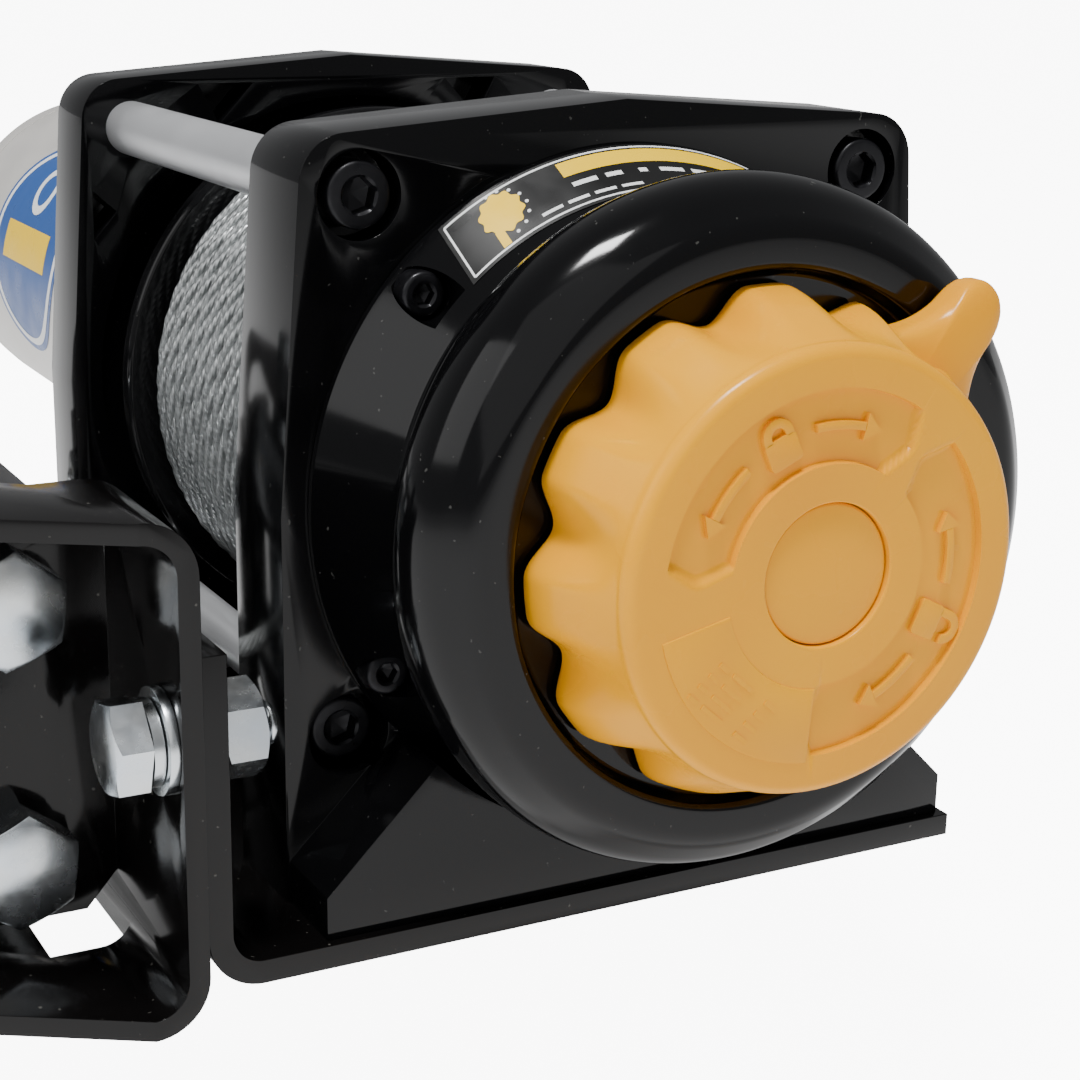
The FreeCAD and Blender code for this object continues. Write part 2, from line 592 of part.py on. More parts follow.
def clutch_spring():
    """Spring that pushes the clutch plate home: the space that its coils fill at full travel."""
    inner, outer = "stem_r + 0.6", "spring_room_r - 0.3"
    coils = ring("ring_end + 3.2 + clutch_travel", "hub_end - collar_h - gap", inner, outer)
    return turned_part("clutch_spring", coils)


# drum, rope and brake

def drum():
    outer = [("drum_left - journal_run", "drum_bore_r"), ("drum_left - journal_run", "journal_r"),
             ("drum_left", "journal_r"), ("drum_left", "drum_flange_r"),
             ("drum_left + drum_wall", "drum_flange_r"), ("drum_left + drum_wall", "core_r"),
             ("drum_right - drum_wall", "core_r"), ("drum_right - drum_wall", "drum_flange_r"),
             ("drum_right", "drum_flange_r"), ("drum_right", "journal_r"),
             ("drum_right + journal_run", "journal_r"), ("drum_right + journal_run", "drum_bore_r")]
    body = turned_part("drum", outer)
    inner_rims = rims(("drum_left + drum_wall", "drum_flange_r"), ("drum_right - drum_wall", "drum_flange_r"))
    round_edges(body, "1", inner_rims)
    return body


def drum_bushes():
    inner, outer = "journal_r + run_gap", "journal_r + bush_wall"
    left = ring("motor_in - journal_run - 0.4", "motor_in - gap", inner, outer)
    right = ring("gear_in", "gear_in + journal_run - 3 * gap", inner, outer)
    return turned_part("drum_bushes", left, right)


def rope_winding():
    wound = ring("drum_left + drum_wall + gap", "drum_right - drum_wall - gap", "core_r + gap", "wound_r")
    return turned_part("rope_winding", wound)


def brake_hub():
    """Couples the motor shaft to the hex shaft inside the drum."""
    body = new_body("brake_hub", AXIS_HEIGHT)
    extrude(body, "YZ", [(CENTRE, "brake_hub_r")], "brake_hub_left", "brake_hub_right")
    extrude(body, "YZ", [(CENTRE, "motor_shaft_r")], "brake_hub_left - 1", "shaft_joint_left", cut=True)
    extrude(body, "YZ", [hexagon(CENTRE, "hex_af")], "shaft_joint_right", "brake_hub_right + 1", cut=True)
    return body


def brake_spring():
    coils = ring("brake_spring_left", "brake_spring_right", "brake_hub_r + 2 * gap", "brake_spring_r")
    return turned_part("brake_spring", coils)


# tie rods and their screws

def tie_rods():
    body = new_body("tie_rods")
    extrude(body, "YZ", [(place, "rod_r") for place in HIGH_RODS], "motor_in", "gear_in")
    extrude(body, "YZ", [(place, "low_rod_r") for place in LOW_RODS], "motor_in", "gear_in")
    for low, high in (("motor_in - 1", "motor_in + screw_grip + 2"), ("gear_in - screw_grip - 2", "gear_in + 1")):
        extrude(body, "YZ", [(place, "screw_r") for place in ALL_RODS], low, high, cut=True)
    return body


def tie_rod_screws():
    body = new_body("tie_rod_screws")
    rows = [(HIGH_RODS, "gear_out - socket_head_h"), (LOW_RODS, "gear_out - socket_head_h - low_pocket")]
    for places, seat in rows:
        head_end = seat + " + socket_head_h"
        extrude(body, "YZ", [(place, "screw_r") for place in places], "gear_in - screw_grip", seat)
        extrude(body, "YZ", [(place, "socket_head_r") for place in places], seat, head_end)
        sockets = [hexagon(place, "socket_af") for place in places]
        extrude(body, "YZ", sockets, head_end + " - socket_deep", head_end + " + 1", cut=True)
    seat = "motor_out + socket_head_h"
    extrude(body, "YZ", [(place, "screw_r") for place in ALL_RODS], seat, "motor_in + screw_grip")
    extrude(body, "YZ", [(place, "socket_head_r") for place in ALL_RODS], "motor_out", seat)
    sockets = [hexagon(place, "socket_af") for place in ALL_RODS]
    extrude(body, "YZ", sockets, "motor_out - 1", "motor_out + socket_deep", cut=True)
    return body


def foot_bolts():
    body = new_body("foot_bolts")
    extrude(body, "XY", [(place, "clamp_r") for place in FEET], "gap", "foot_bolt_end")
    rims_low = [(place, "foot_hole_r + base_t - 0.5") for place in FEET]
    heads = extrude(body, "XY", rims_low, "gap", "base_t - 2 * gap")
    heads.TaperAngle = -45
    extrude(body, "XY", [hexagon(place, "5") for place in FEET], "-1", "2.4", cut=True)
    return body


def foot_nuts():
    body = new_body("foot_nuts")
    half = "foot_nut_half"
    squares = [box("%s - %s" % (x, half), "%s + %s" % (x, half), "%s - %s" % (y, half), "%s + %s" % (y, half))
               for x, y in FEET]
    extrude(body, "XY", squares, "foot_nut_low", "foot_nut_high")
    extrude(body, "XY", [(place, "clamp_r") for place in FEET], "foot_nut_low - 1", "foot_nut_high + 1", cut=True)
    return body


# motor

def motor_can():
    can = ring("can_end", "motor_out", "can_r - can_t", "can_r")
    body = turned_part("motor_can", can)
    studs = [((x, "0"), "stud_r + 0.4") for x in STUDS]
    extrude(body, "XZ", studs, "can_r - 6", "can_r + 1", cut=True)
    return body


STUDS = ("motor_out - stud_first", "motor_out - stud_second")


def motor_end_cap():
    profile = [("cap_end", "0"), ("cap_end", "can_r - 3"), ("cap_end + 3", "can_r"), ("can_end", "can_r"),
               ("can_end", "bearing_r + 6"), ("can_end + 3", "bearing_r + 4"), ("can_end + 3", "bearing_r"),
               ("can_end - 5", "bearing_r"), ("can_end - 5", "0")]
    return turned_part("motor_end_cap", profile)


def motor_magnets():
    body = turned_part("motor_magnets", ring("magnet_left", "magnet_right", "magnet_in_r", "can_r - can_t - gap"))
    between = box("-pole_gap / 2", "pole_gap / 2", "magnet_in_r - 4", "can_r")
    space = extrude(body, "YZ", [between], "magnet_left - 1", "magnet_right + 1", cut=True)
    repeat(body, space, "4")
    return body


def armature():
    body = turned_part("armature", ring("rotor_left", "rotor_right", "motor_shaft_r", "rotor_r"))
    winding_slot = box("-slot_wide / 2", "slot_wide / 2", "rotor_r - slot_deep", "rotor_r + 1")
    slot = extrude(body, "YZ", [winding_slot], "rotor_left - 1", "rotor_right + 1", cut=True)
    repeat(body, slot, "rotor_slots")
    return body


def armature_shaft():
    body = new_body("armature_shaft", AXIS_HEIGHT)
    extrude(body, "YZ", [(CENTRE, "motor_shaft_r")], "can_end - 4.6",
            "shaft_joint_left - 0.4")
    return body


def commutator():
    return turned_part("commutator", ring("commutator_left", "commutator_right", "motor_shaft_r", "commutator_r"))


def motor_bearings():
    inner = "motor_shaft_r + run_gap"
    rear = ring("can_end - 4.7", "can_end - 4.7 + bearing_w", inner, "bearing_r")
    front = ring("motor_out + 2 * gap", "motor_out + 2 * gap + bearing_w", inner, "bearing_r")
    return turned_part("motor_bearings", rear, front)


def brushes():
    body = new_body("brushes", AXIS_HEIGHT)
    block = box("-brush_wide / 2", "brush_wide / 2", "commutator_r + 0.35", "commutator_r + 12")
    brush = extrude(body, "YZ", [block], "commutator_left + 3", "commutator_right - 3")
    repeat(body, brush, "4")
    return body


def terminal_studs():
    body = new_body("terminal_studs", AXIS_HEIGHT)
    collars = [((x, "0"), "stud_collar_r") for x in STUDS]
    extrude(body, "XZ", collars, "can_r - can_t - 2 * gap", "can_r + stud_nut_high")
    extrude(body, "XZ", [((x, "0"), "stud_r") for x in STUDS], "can_r + stud_nut_high - 1", "can_r + stud_out")
    return body


def terminal_nuts():
    body = new_body("terminal_nuts", AXIS_HEIGHT)
    low, high = "can_r + stud_nut_low", "can_r + stud_nut_high"
    extrude(body, "XZ", [hexagon((x, "0"), "stud_nut_af") for x in STUDS], low, high)
    extrude(body, "XZ", [((x, "0"), "stud_collar_r") for x in STUDS], low + " - 1", high + " + 1", cut=True)
    return body


# roller fairlead

def fairlead_frame():
    body = new_body("fairlead_frame")
    outline = [("-fair_half", "base_front"), ("-fair_half", "base_front - fair_bend_r"),
               ("-fair_nose_half", "fair_front"), ("fair_nose_half", "fair_front"),
               ("fair_half", "base_front - fair_bend_r"), ("fair_half", "base_front")]
    extrude(body, "XY", [outline], "fair_bottom", "fair_top")
    back, face = value("base_front"), value("base_front - fair_t")
    nose = value("fair_front")
    round_edges(body, "fair_bend_r", straight_along(0, lambda m: abs(m.y - back) < 0.01))
    round_edges(body, "4", straight_along(2, lambda m: abs(m.y - nose) < 0.01))
    inside = [("fair_front - 1", "fair_bottom + fair_t"), ("base_front - fair_t", "fair_bottom + fair_t"),
              ("base_front - fair_t", "fair_top - fair_t"), ("fair_front - 1", "fair_top - fair_t")]
    extrude(body, "YZ", [inside], "-fair_half - 1", "fair_half + 1", cut=True)
    round_edges(body, "fair_bend_r - fair_t", straight_along(0, lambda m: abs(m.y - face) < 0.01))
    notch = box("-notch_half", "notch_half", "notch_front", "base_front + 1")
    low_notch = box("-notch_half", "notch_half", "notch_front", "base_front - fair_t - 2 * gap")
    extrude(body, "XY", [low_notch], "fair_bottom - 1", "fair_bottom + fair_bend_r", cut=True)
    extrude(body, "XY", [notch], "cheek_root_high + 1.5", "fair_top + 1", cut=True)
    window = box("-cheek_out", "cheek_out", "cheek_root_low - 4", "cheek_root_high + 4")
    extrude(body, "XZ", [window], "base_front - fair_t - 1", "base_front + 1", cut=True)
    flare = "base_front - fair_t - 5"
    cheek = [("base_front", "cheek_root_low"), (flare, "cheek_low"), ("cheek_front", "cheek_low"),
             ("cheek_front", "cheek_high"), (flare, "cheek_high"), ("base_front", "cheek_root_high")]
    extrude(body, "YZ", [cheek], "cheek_out - fair_t", "cheek_out")
    extrude(body, "YZ", [cheek], "-cheek_out", "fair_t - cheek_out")
    tip = value("cheek_front")
    round_edges(body, "6", straight_along(0, lambda m: abs(m.y - tip) < 0.01))
    pins = [(("roller_y", z), "roller_pin_r + 0.2") for z in ("roller_low_z", "roller_high_z")]
    extrude(body, "YZ", pins, "-cheek_out - 1", "cheek_out + 1", cut=True)
    posts = [((x, "roller_front_y"), "roller_pin_r + 0.2") for x in mirrored("roller_x")]
    extrude(body, "XY", posts, "fair_bottom - 1", "fair_top + 1", cut=True)
    clamps = [((x, "clamp_z"), "clamp_r + 0.3") for x in mirrored("clamp_x")]
    extrude(body, "XZ", clamps, "base_front - fair_t - 1", "base_front + 1", cut=True)
    return body


def level_roller(label, height):
    half = "cheek_out - fair_t - roller_gap"
    body = turned_part(label, ring("-(%s)" % half, half, "roller_bore_r", "roller_r"))
    body.setExpression("Placement.Base.y", bound("roller_y"))
    body.setExpression("Placement.Base.z", bound(height))
    round_edges(body, "1.5", rims((half, "roller_r"), ("-(%s)" % half, "roller_r")))
    return body


def upright_roller(label, place_x):
    body = new_body(label)
    centre = (place_x, "roller_front_y")
    extrude(body, "XY", [(centre, "roller_r"), (centre, "roller_bore_r")],
            "fair_bottom + fair_t + roller_gap", "fair_top - fair_t - roller_gap")
    outer = value("roller_r")
    round_edges(body, "1.5", lambda edge: edge.Curve.TypeId == "Part::GeomCircle"
                and abs(edge.Curve.Radius - outer) < 1e-4)
    return body


LEVEL_PINS = [("roller_y", z) for z in ("roller_low_z", "roller_high_z")]
UPRIGHT_PINS = [(x, "roller_front_y") for x in mirrored("roller_x")]


def pins_of(places):
    return [(place, "roller_pin_r") for place in places]


def roller_bolts():
    body = new_body("roller_bolts")
    level, upright = pins_of(LEVEL_PINS), pins_of(UPRIGHT_PINS)
    extrude(body, "YZ", level, "-cheek_out - pin_nut_h - 3", "cheek_out")
    level_heads = [hexagon(place, "pin_head_af", "17") for place in LEVEL_PINS]
    extrude(body, "YZ", level_heads, "cheek_out", "cheek_out + pin_head_h")
    extrude(body, "XY", upright, "fair_bottom - pin_nut_h - 3", "fair_top")
    upright_heads = [hexagon(place, "pin_head_af", "10") for place in UPRIGHT_PINS]
    extrude(body, "XY", upright_heads, "fair_top", "fair_top + pin_head_h")
    return body


def roller_nuts():
    body = new_body("roller_nuts")
    level = [hexagon(place, "pin_head_af", "40") for place in LEVEL_PINS]
    upright = [hexagon(place, "pin_head_af", "25") for place in UPRIGHT_PINS]
    extrude(body, "YZ", level, "-cheek_out - pin_nut_h", "-cheek_out")
    extrude(body, "XY", upright, "fair_bottom - pin_nut_h", "fair_bottom")
    extrude(body, "YZ", pins_of(LEVEL_PINS), "-cheek_out - pin_nut_h - 1", "-cheek_out + gap", cut=True)
    extrude(body, "XY", pins_of(UPRIGHT_PINS), "fair_bottom - pin_nut_h - 1", "fair_bottom + gap", cut=True)
    return body


CLAMPS = [(x, "clamp_z") for x in mirrored("clamp_x")]
WASHER_FACE = "base_front - fair_t"
SPRING_FACE = "base_front - fair_t - flat_washer_t"
HEAD_FACE = "base_front - fair_t - flat_washer_t - spring_washer_t"
NUT_FACE = "base_front + base_t"


def fairlead_bolts():
    body = new_body("fairlead_bolts")
    extrude(body, "XZ", [(place, "clamp_r") for place in CLAMPS], HEAD_FACE, NUT_FACE + " + clamp_nut_h + 2.4")
    extrude(body, "XZ", [hexagon(place, "clamp_head_af", "12") for place in CLAMPS],
            HEAD_FACE + " - clamp_head_h", HEAD_FACE)
    return body


def fairlead_washers():
    body = new_body("fairlead_washers")
    hole = "clamp_r + 0.15"
    extrude(body, "XZ", [(place, "washer_r") for place in CLAMPS], SPRING_FACE, WASHER_FACE)
    extrude(body, "XZ", [(place, "washer_r - 1.4") for place in CLAMPS], HEAD_FACE, SPRING_FACE)
    extrude(body, "XZ", [(place, hole) for place in CLAMPS], HEAD_FACE + " - 1", WASHER_FACE + " + 1", cut=True)
    return body


def fairlead_nuts():
    body = new_body("fairlead_nuts")
    end = NUT_FACE + " + clamp_nut_h"
    extrude(body, "XZ", [hexagon(place, "clamp_head_af", "20") for place in CLAMPS], NUT_FACE, end)
    extrude(body, "XZ", [(place, "clamp_r") for place in CLAMPS], NUT_FACE + " - 1", end + " + 1", cut=True)
    return body


# rope end: straight lead over the lower roller, crimped eye, clevis hook and its latch

def rope_lead():
    """The rope's straight lead, tangent to the winding's last layer and to the lower roller."""
    rope_r = value("rope_d / 2")
    drum_side, roller_side = value("wound_r") - rope_r, value("roller_r") + rope_r
    run_y = value("roller_y")
    run_z = value("roller_low_z - axis_z")
    reach = (run_y ** 2 + run_z ** 2) ** 0.5
    down = FreeCAD.Vector(0, run_y, run_z).normalize()
    lean = (drum_side + roller_side) / reach
    side = FreeCAD.Vector(0, run_z, -run_y).normalize()
    along = down * (1 - lean ** 2) ** 0.5 + side * lean
    touch = FreeCAD.Vector(0, along.z, -along.y) * -drum_side + FreeCAD.Vector(0, 0, value("axis_z"))
    return touch, along


def rope_tail():
    touch, along = rope_lead()
    start = touch + along * value("lead_clear")
    length = (value("tail_y + 3 * gap") - start.y) / along.y
    feature = doc.addObject("Part::Feature", "rope_tail")
    feature.Label = "rope_tail"
    feature.Shape = Part.makeCylinder(value("rope_d / 2"), length, FreeCAD.Vector(0, 0, 0), along)
    feature.Placement.Base = start
    print("rope lead: touch (%.2f, %.2f), along (%.4f, %.4f), length %.1f"
          % (touch.y, touch.z, along.y, along.z, length))
    return feature


EYE = ("eye_y", "eye_z")
HOOK_BOWL = ("eye_y", "bowl_z")
LATCH_PIVOT = ("latch_y", "latch_z")


def rope_eye():
    """Crimped sleeve and thimble eye at the rope's end."""
    body = new_body("rope_eye")
    extrude(body, "XZ", [(("0", "eye_z"), "rope_d / 2 + 2.2")], "eye_y + eye_r - 1", "tail_y")
    extrude(body, "YZ", [(EYE, "eye_r")], "-eye_t / 2", "eye_t / 2")
    extrude(body, "YZ", [(EYE, "hook_pin_r + 0.6")], "-eye_t", "eye_t", cut=True)
    return body


def hook():
    """Clevis hook: two ears over the eye, a shank and an open bowl, all one forging."""
    body = new_body("hook")
    ears = [("eye_y - ear_half", "eye_z - 18"), ("eye_y + ear_half", "eye_z - 18"),
            ("eye_y + 7", "eye_z + 6"), ("eye_y - 7", "eye_z + 6")]
    extrude(body, "YZ", [ears], "-ear_half", "ear_half")
    fork = box("eye_y - 14", "eye_y + 14", "eye_z - 12.5", "eye_z + 12")
    extrude(body, "YZ", [fork], "-eye_t / 2 - 0.4", "eye_t / 2 + 0.4", cut=True)
    extrude(body, "YZ", [(HOOK_BOWL, "bowl_out_r")], "-hook_half", "hook_half")
    shank = box("eye_y + 2", "eye_y + 13", "bowl_z + 3", "eye_z - 14")
    extrude(body, "YZ", [shank], "-hook_half", "hook_half")
    extrude(body, "YZ", [(HOOK_BOWL, "bowl_in_r")], "-hook_half - 1", "hook_half + 1", cut=True)
    mouth = [("eye_y - 25", "bowl_z + 4"), ("eye_y + 1", "bowl_z - 2"), ("eye_y + 1", "bowl_z + 20.4"),
             ("eye_y - 25", "bowl_z + 20.4")]
    extrude(body, "YZ", [mouth], "-hook_half - 1", "hook_half + 1", cut=True)
    extrude(body, "YZ", [(EYE, "hook_pin_r")], "-ear_half - 1", "ear_half + 1", cut=True)
    return body


def hook_pin():
    body = new_body("hook_pin")
    extrude(body, "YZ", [(EYE, "hook_pin_r")], "-ear_half - 1.5", "ear_half")
    extrude(body, "YZ", [(EYE, "hook_pin_r + 2.5")], "ear_half", "ear_half + 2.6")
    return body


def hook_latch():
    """Spring latch that closes the hook's mouth from inside, with a barrel round its pivot."""
    body = new_body("hook_latch")
    blade = [("latch_y - 12.2", "latch_z - 14.7"), ("latch_y - 9.2", "latch_z - 15.7"),
             ("latch_y + 0.9", "latch_z - 1.1"), ("latch_y - 0.9", "latch_z + 1.1")]
    extrude(body, "YZ", [blade], "-latch_half", "latch_half")
    extrude(body, "YZ", [(LATCH_PIVOT, "1.6")], "-latch_half", "latch_half")
    return body


def build():
    """Makes every sub-part and returns the bodies in the order in which they are written."""
    bodies = [mounting_plate(), gearbox_end_plate(), motor_end_plate(), gear_housing(), housing_screws(),
              ring_gear(), input_shaft(), sun_gear()]
    bodies += [carrier(stage) for stage in STAGES]
    bodies += [planet_gear(stage, index) for stage in STAGES for index in range(3)]
    bodies += [clutch_plate(), clutch_spring(), clutch_knob(), knob_cap(), knob_screw(), drum(), drum_bushes(),
               rope_winding(), brake_hub(), brake_spring(), tie_rods(), tie_rod_screws(), foot_bolts(), foot_nuts()]
    bodies += [motor_can(), motor_end_cap(), motor_magnets(), armature(), armature_shaft(), commutator(),
               motor_bearings(), brushes(), terminal_studs(), terminal_nuts()]
    bodies += [fairlead_frame(), level_roller("roller_lower", "roller_low_z"),
               level_roller("roller_upper", "roller_high_z"), upright_roller("roller_right", "roller_x"),
               upright_roller("roller_left", "-roller_x"), roller_bolts(), roller_nuts(), fairlead_bolts(),
               fairlead_washers(), fairlead_nuts()]
    bodies += [rope_tail(), rope_eye(), hook(), hook_pin(), hook_latch()]
    return bodies


def check(bodies):
    doc.recompute()
    for item in doc.Objects:
        if "Invalid" in item.State or "Error" in item.State:
            raise RuntimeError("%s failed: %s" % (item.Label, item.State))
    for body in bodies:
        if body.Shape.isNull() or not body.Shape.isValid() or not body.Shape.Solids:
            raise RuntimeError("bad shape: " + body.Label)


def write(bodies):
    os.makedirs("parts", exist_ok=True)
    for body in bodies:
        body.Shape.exportStep("parts/%s.step" % body.Label)
        print("%-20s %8.1f mm3 %2d solids" % (body.Label, body.Shape.Volume, len(body.Shape.Solids)))


made = build()
check(made)
write(made)
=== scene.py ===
"""Looks for the electric drum winch: castings, moulded knob, wire rope, fasteners, labels and stage.

Lengths are metres in the part's own frame. The drum turns about an axis along X, with the knob at
+X and the motor at -X, the rope leaves towards -Y, and Z is up.
"""
import json
import math

import bmesh
import bpy
from bpy.props import FloatProperty, FloatVectorProperty, IntProperty, PointerProperty, StringProperty
from mathutils import Matrix, Vector


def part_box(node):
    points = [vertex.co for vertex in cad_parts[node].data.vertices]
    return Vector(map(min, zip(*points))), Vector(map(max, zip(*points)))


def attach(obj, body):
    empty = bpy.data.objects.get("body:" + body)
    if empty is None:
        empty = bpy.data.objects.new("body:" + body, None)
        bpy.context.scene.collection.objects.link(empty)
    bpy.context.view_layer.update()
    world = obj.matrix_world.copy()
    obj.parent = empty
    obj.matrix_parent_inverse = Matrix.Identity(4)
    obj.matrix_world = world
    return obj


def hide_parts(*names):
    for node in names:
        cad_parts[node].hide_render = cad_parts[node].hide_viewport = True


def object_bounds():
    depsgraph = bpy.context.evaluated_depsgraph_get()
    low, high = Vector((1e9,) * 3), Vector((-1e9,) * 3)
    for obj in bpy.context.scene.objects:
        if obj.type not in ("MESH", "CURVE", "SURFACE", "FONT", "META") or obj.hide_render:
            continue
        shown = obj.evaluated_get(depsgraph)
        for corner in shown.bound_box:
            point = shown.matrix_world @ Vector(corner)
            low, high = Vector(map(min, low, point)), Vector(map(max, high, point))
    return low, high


bl_info = {
    "name": "Drum Winch Looks",
    "version": (1, 0, 0),
    "blender": (4, 5, 0),
    "location": "3D View > Sidebar > Winch",
    "description": "Builds the finished surfaces of an electric drum winch around its fixed frame",
    "category": "Object",
}

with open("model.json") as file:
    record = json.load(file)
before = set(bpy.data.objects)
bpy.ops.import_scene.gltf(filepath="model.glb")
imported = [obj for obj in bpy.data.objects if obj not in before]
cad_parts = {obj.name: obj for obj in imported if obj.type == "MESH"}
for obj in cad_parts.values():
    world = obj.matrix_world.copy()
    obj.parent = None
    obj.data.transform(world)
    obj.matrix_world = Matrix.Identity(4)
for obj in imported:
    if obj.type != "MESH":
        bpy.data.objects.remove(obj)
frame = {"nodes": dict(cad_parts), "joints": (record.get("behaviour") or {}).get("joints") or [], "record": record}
CAD_BOX = [list(corner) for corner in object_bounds()]
MM = 0.001
JOINTS = {joint["name"]: joint for joint in frame["joints"]}
AXIS = Vector((0, 0, JOINTS["drum_spin"]["pos_m"][2]))


def span(node, axis):
    """Lowest and highest place of a CAD node along one axis."""
    low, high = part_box(node)
    return low[axis], high[axis]


# sizes and colours that a user would change

class KnobSettings(bpy.types.PropertyGroup):
    skirt_radius: FloatProperty(name="Skirt radius", description="Radius of the lobes at the back edge",
                                default=37.3 * MM, unit="LENGTH")
    valley_radius: FloatProperty(name="Valley radius", description="Radius of the flutes at the back edge",
                                 default=33.5 * MM, unit="LENGTH")
    flutes: IntProperty(name="Flutes", description="Finger flutes, counted past the pointer", default=11)
    first_flute: FloatProperty(name="First flute", description="Angle of the first flute from +Y",
                               default=math.radians(75), unit="ROTATION")
    flute_pitch: FloatProperty(name="Flute pitch", description="Angle from flute to flute",
                               default=math.radians(31.5), unit="ROTATION")
    pointer_angle: FloatProperty(name="Pointer angle", description="Angle of the pointer from +Y",
                                 default=math.radians(46), unit="ROTATION")
    pointer_reach: FloatProperty(name="Pointer reach", description="Radius of the pointer's tip",
                                 default=49.5 * MM, unit="LENGTH")
    colour: StringProperty(name="Colour", description="Moulded plastic, as a hex colour", default="#EBA300")


class RopeSettings(bpy.types.PropertyGroup):
    diameter: FloatProperty(name="Diameter", description="Wire rope diameter",
                            default=4.8 * MM, unit="LENGTH")
    strands: IntProperty(name="Strands", description="Strands laid round the core", default=6)
    lay_length: FloatProperty(name="Lay length", description="Rope length of one turn of a strand",
                              default=30 * MM, unit="LENGTH")
    step: FloatProperty(name="Step", description="Distance between points along a strand",
                        default=2.8 * MM, unit="LENGTH")
    colour: StringProperty(name="Colour", description="Galvanised wire, as a hex colour", default="#C9CCCC")


class CastingSettings(bpy.types.PropertyGroup):
    edge_radius: FloatProperty(name="Edge radius", description="Rounding of cast edges",
                               default=1.5 * MM, unit="LENGTH")
    sheet_edge: FloatProperty(name="Sheet edge", description="Rounding of coated sheet edges",
                              default=0.6 * MM, unit="LENGTH")
    turn_steps: IntProperty(name="Turn steps", description="Steps round a turned shape", default=240)
    enamel: StringProperty(name="Enamel", description="Enamel on castings, as a hex colour",
                           default="#070708")
    powder: StringProperty(name="Powder coat", description="Coat on sheet steel, as a hex colour",
                           default="#080707")


class FastenerSettings(bpy.types.PropertyGroup):
    pitch: FloatProperty(name="Thread pitch", description="Pitch of the M8 threads",
                         default=1.25 * MM, unit="LENGTH")
    steps: IntProperty(name="Steps", description="Steps round a bolt head", default=72)
    zinc: StringProperty(name="Zinc", description="Bright zinc plate, as a hex colour", default="#CBD3DB")


class LabelSettings(bpy.types.PropertyGroup):
    lift: FloatProperty(name="Lift", description="Height of a printed film over its surface",
                        default=0.12 * MM, unit="LENGTH")
    yellow: StringProperty(name="Yellow ink", description="As a hex colour", default="#F5C800")
    blue: StringProperty(name="Blue ink", description="As a hex colour", default="#1F4F93")
    white: StringProperty(name="White ink", description="As a hex colour", default="#E9EAEA")


class StageSettings(bpy.types.PropertyGroup):
    eye: FloatVectorProperty(name="Eye", description="Place of the camera", size=3, subtype="TRANSLATION",
                             default=(0.35298, -0.16978, 0.15222))
    azimuth: FloatProperty(name="Azimuth", default=math.radians(62.496), unit="ROTATION",
                           description="Angle of the camera round Z")
    elevation: FloatProperty(name="Elevation", default=math.radians(16.293), unit="ROTATION",
                             description="Angle of the camera above level")
    roll: FloatProperty(name="Roll", default=math.radians(0.769), unit="ROTATION",
                        description="Turn of the camera about its own axis")
    lens: FloatProperty(name="Lens", description="Focal length in millimetres", default=72.88)
    shift: FloatVectorProperty(name="Shift", description="Lens shift", size=2, default=(0.0254, 0.0066))
    floor_colour: StringProperty(name="Floor", description="As a hex colour", default="#F4F4F4")


SETTINGS = {"winch_knob": KnobSettings, "winch_rope": RopeSettings, "winch_casting": CastingSettings,
            "winch_fastener": FastenerSettings, "winch_label": LabelSettings, "winch_stage": StageSettings}


def settings(name):
    return getattr(bpy.context.scene, "winch_" + name)


# materials

def linear(code):
    """A hex colour as linear red, green, blue and full alpha."""
    shares = [int(code[i:i + 2], 16) / 255 for i in (1, 3, 5)]
    return tuple(s / 12.92 if s <= 0.04045 else ((s + 0.055) / 1.055) ** 2.4 for s in shares) + (1.0,)


def add_node(tree, kind, values=None, links=None):
    """Adds a shader node, sets its properties or inputs, and links its inputs from other sockets."""
    node = tree.nodes.new(kind)
    for key, setting in (values or {}).items():
        if isinstance(key, str) and hasattr(node, key):
            setattr(node, key, setting)
        else:
            node.inputs[key].default_value = setting
    for key, source in (links or {}).items():
        tree.links.new(source, node.inputs[key])
    return node


def new_material(name, colour, **sockets):
    """A material with a principled shader. Returns it, its tree and the shader."""
    made = bpy.data.materials.new(name)
    made.use_nodes = True
    tree = made.node_tree
    shader = tree.nodes["Principled BSDF"]
    shader.inputs["Base Color"].default_value = linear(colour)
    for socket, number in sockets.items():
        shader.inputs[socket.replace("_", " ")].default_value = number
    return made, tree, shader


def object_place(tree):
    return add_node(tree, "ShaderNodeTexCoord").outputs["Object"]


def grain(tree, size, detail=2.0):
    """Noise whose features are about one size across, in metres. Returns its value socket."""
    return add_node(tree, "ShaderNodeTexNoise", {"Scale": 0.5 / size, "Detail": detail},
                    {"Vector": object_place(tree)}).outputs["Fac"]


def remap(tree, source, low, high, from_low=0.3, from_high=0.7):
    values = {"From Min": from_low, "From Max": from_high, "To Min": low, "To Max": high}
    return add_node(tree, "ShaderNodeMapRange", values, {"Value": source}).outputs["Result"]


def blend_colours(tree, share, first, second):
    """A colour between two hex colours, by a 0 to 1 socket."""
    mix = add_node(tree, "ShaderNodeMix", {"data_type": "RGBA"}, {"Factor": share})
    mix.inputs["A"].default_value = linear(first)
    mix.inputs["B"].default_value = linear(second)
    return mix.outputs["Result"]


def bump(tree, shader, height, distance, strength=1.0):
    node = add_node(tree, "ShaderNodeBump", {"Strength": strength, "Distance": distance}, {"Height": height})
    tree.links.new(node.outputs["Normal"], shader.inputs["Normal"])


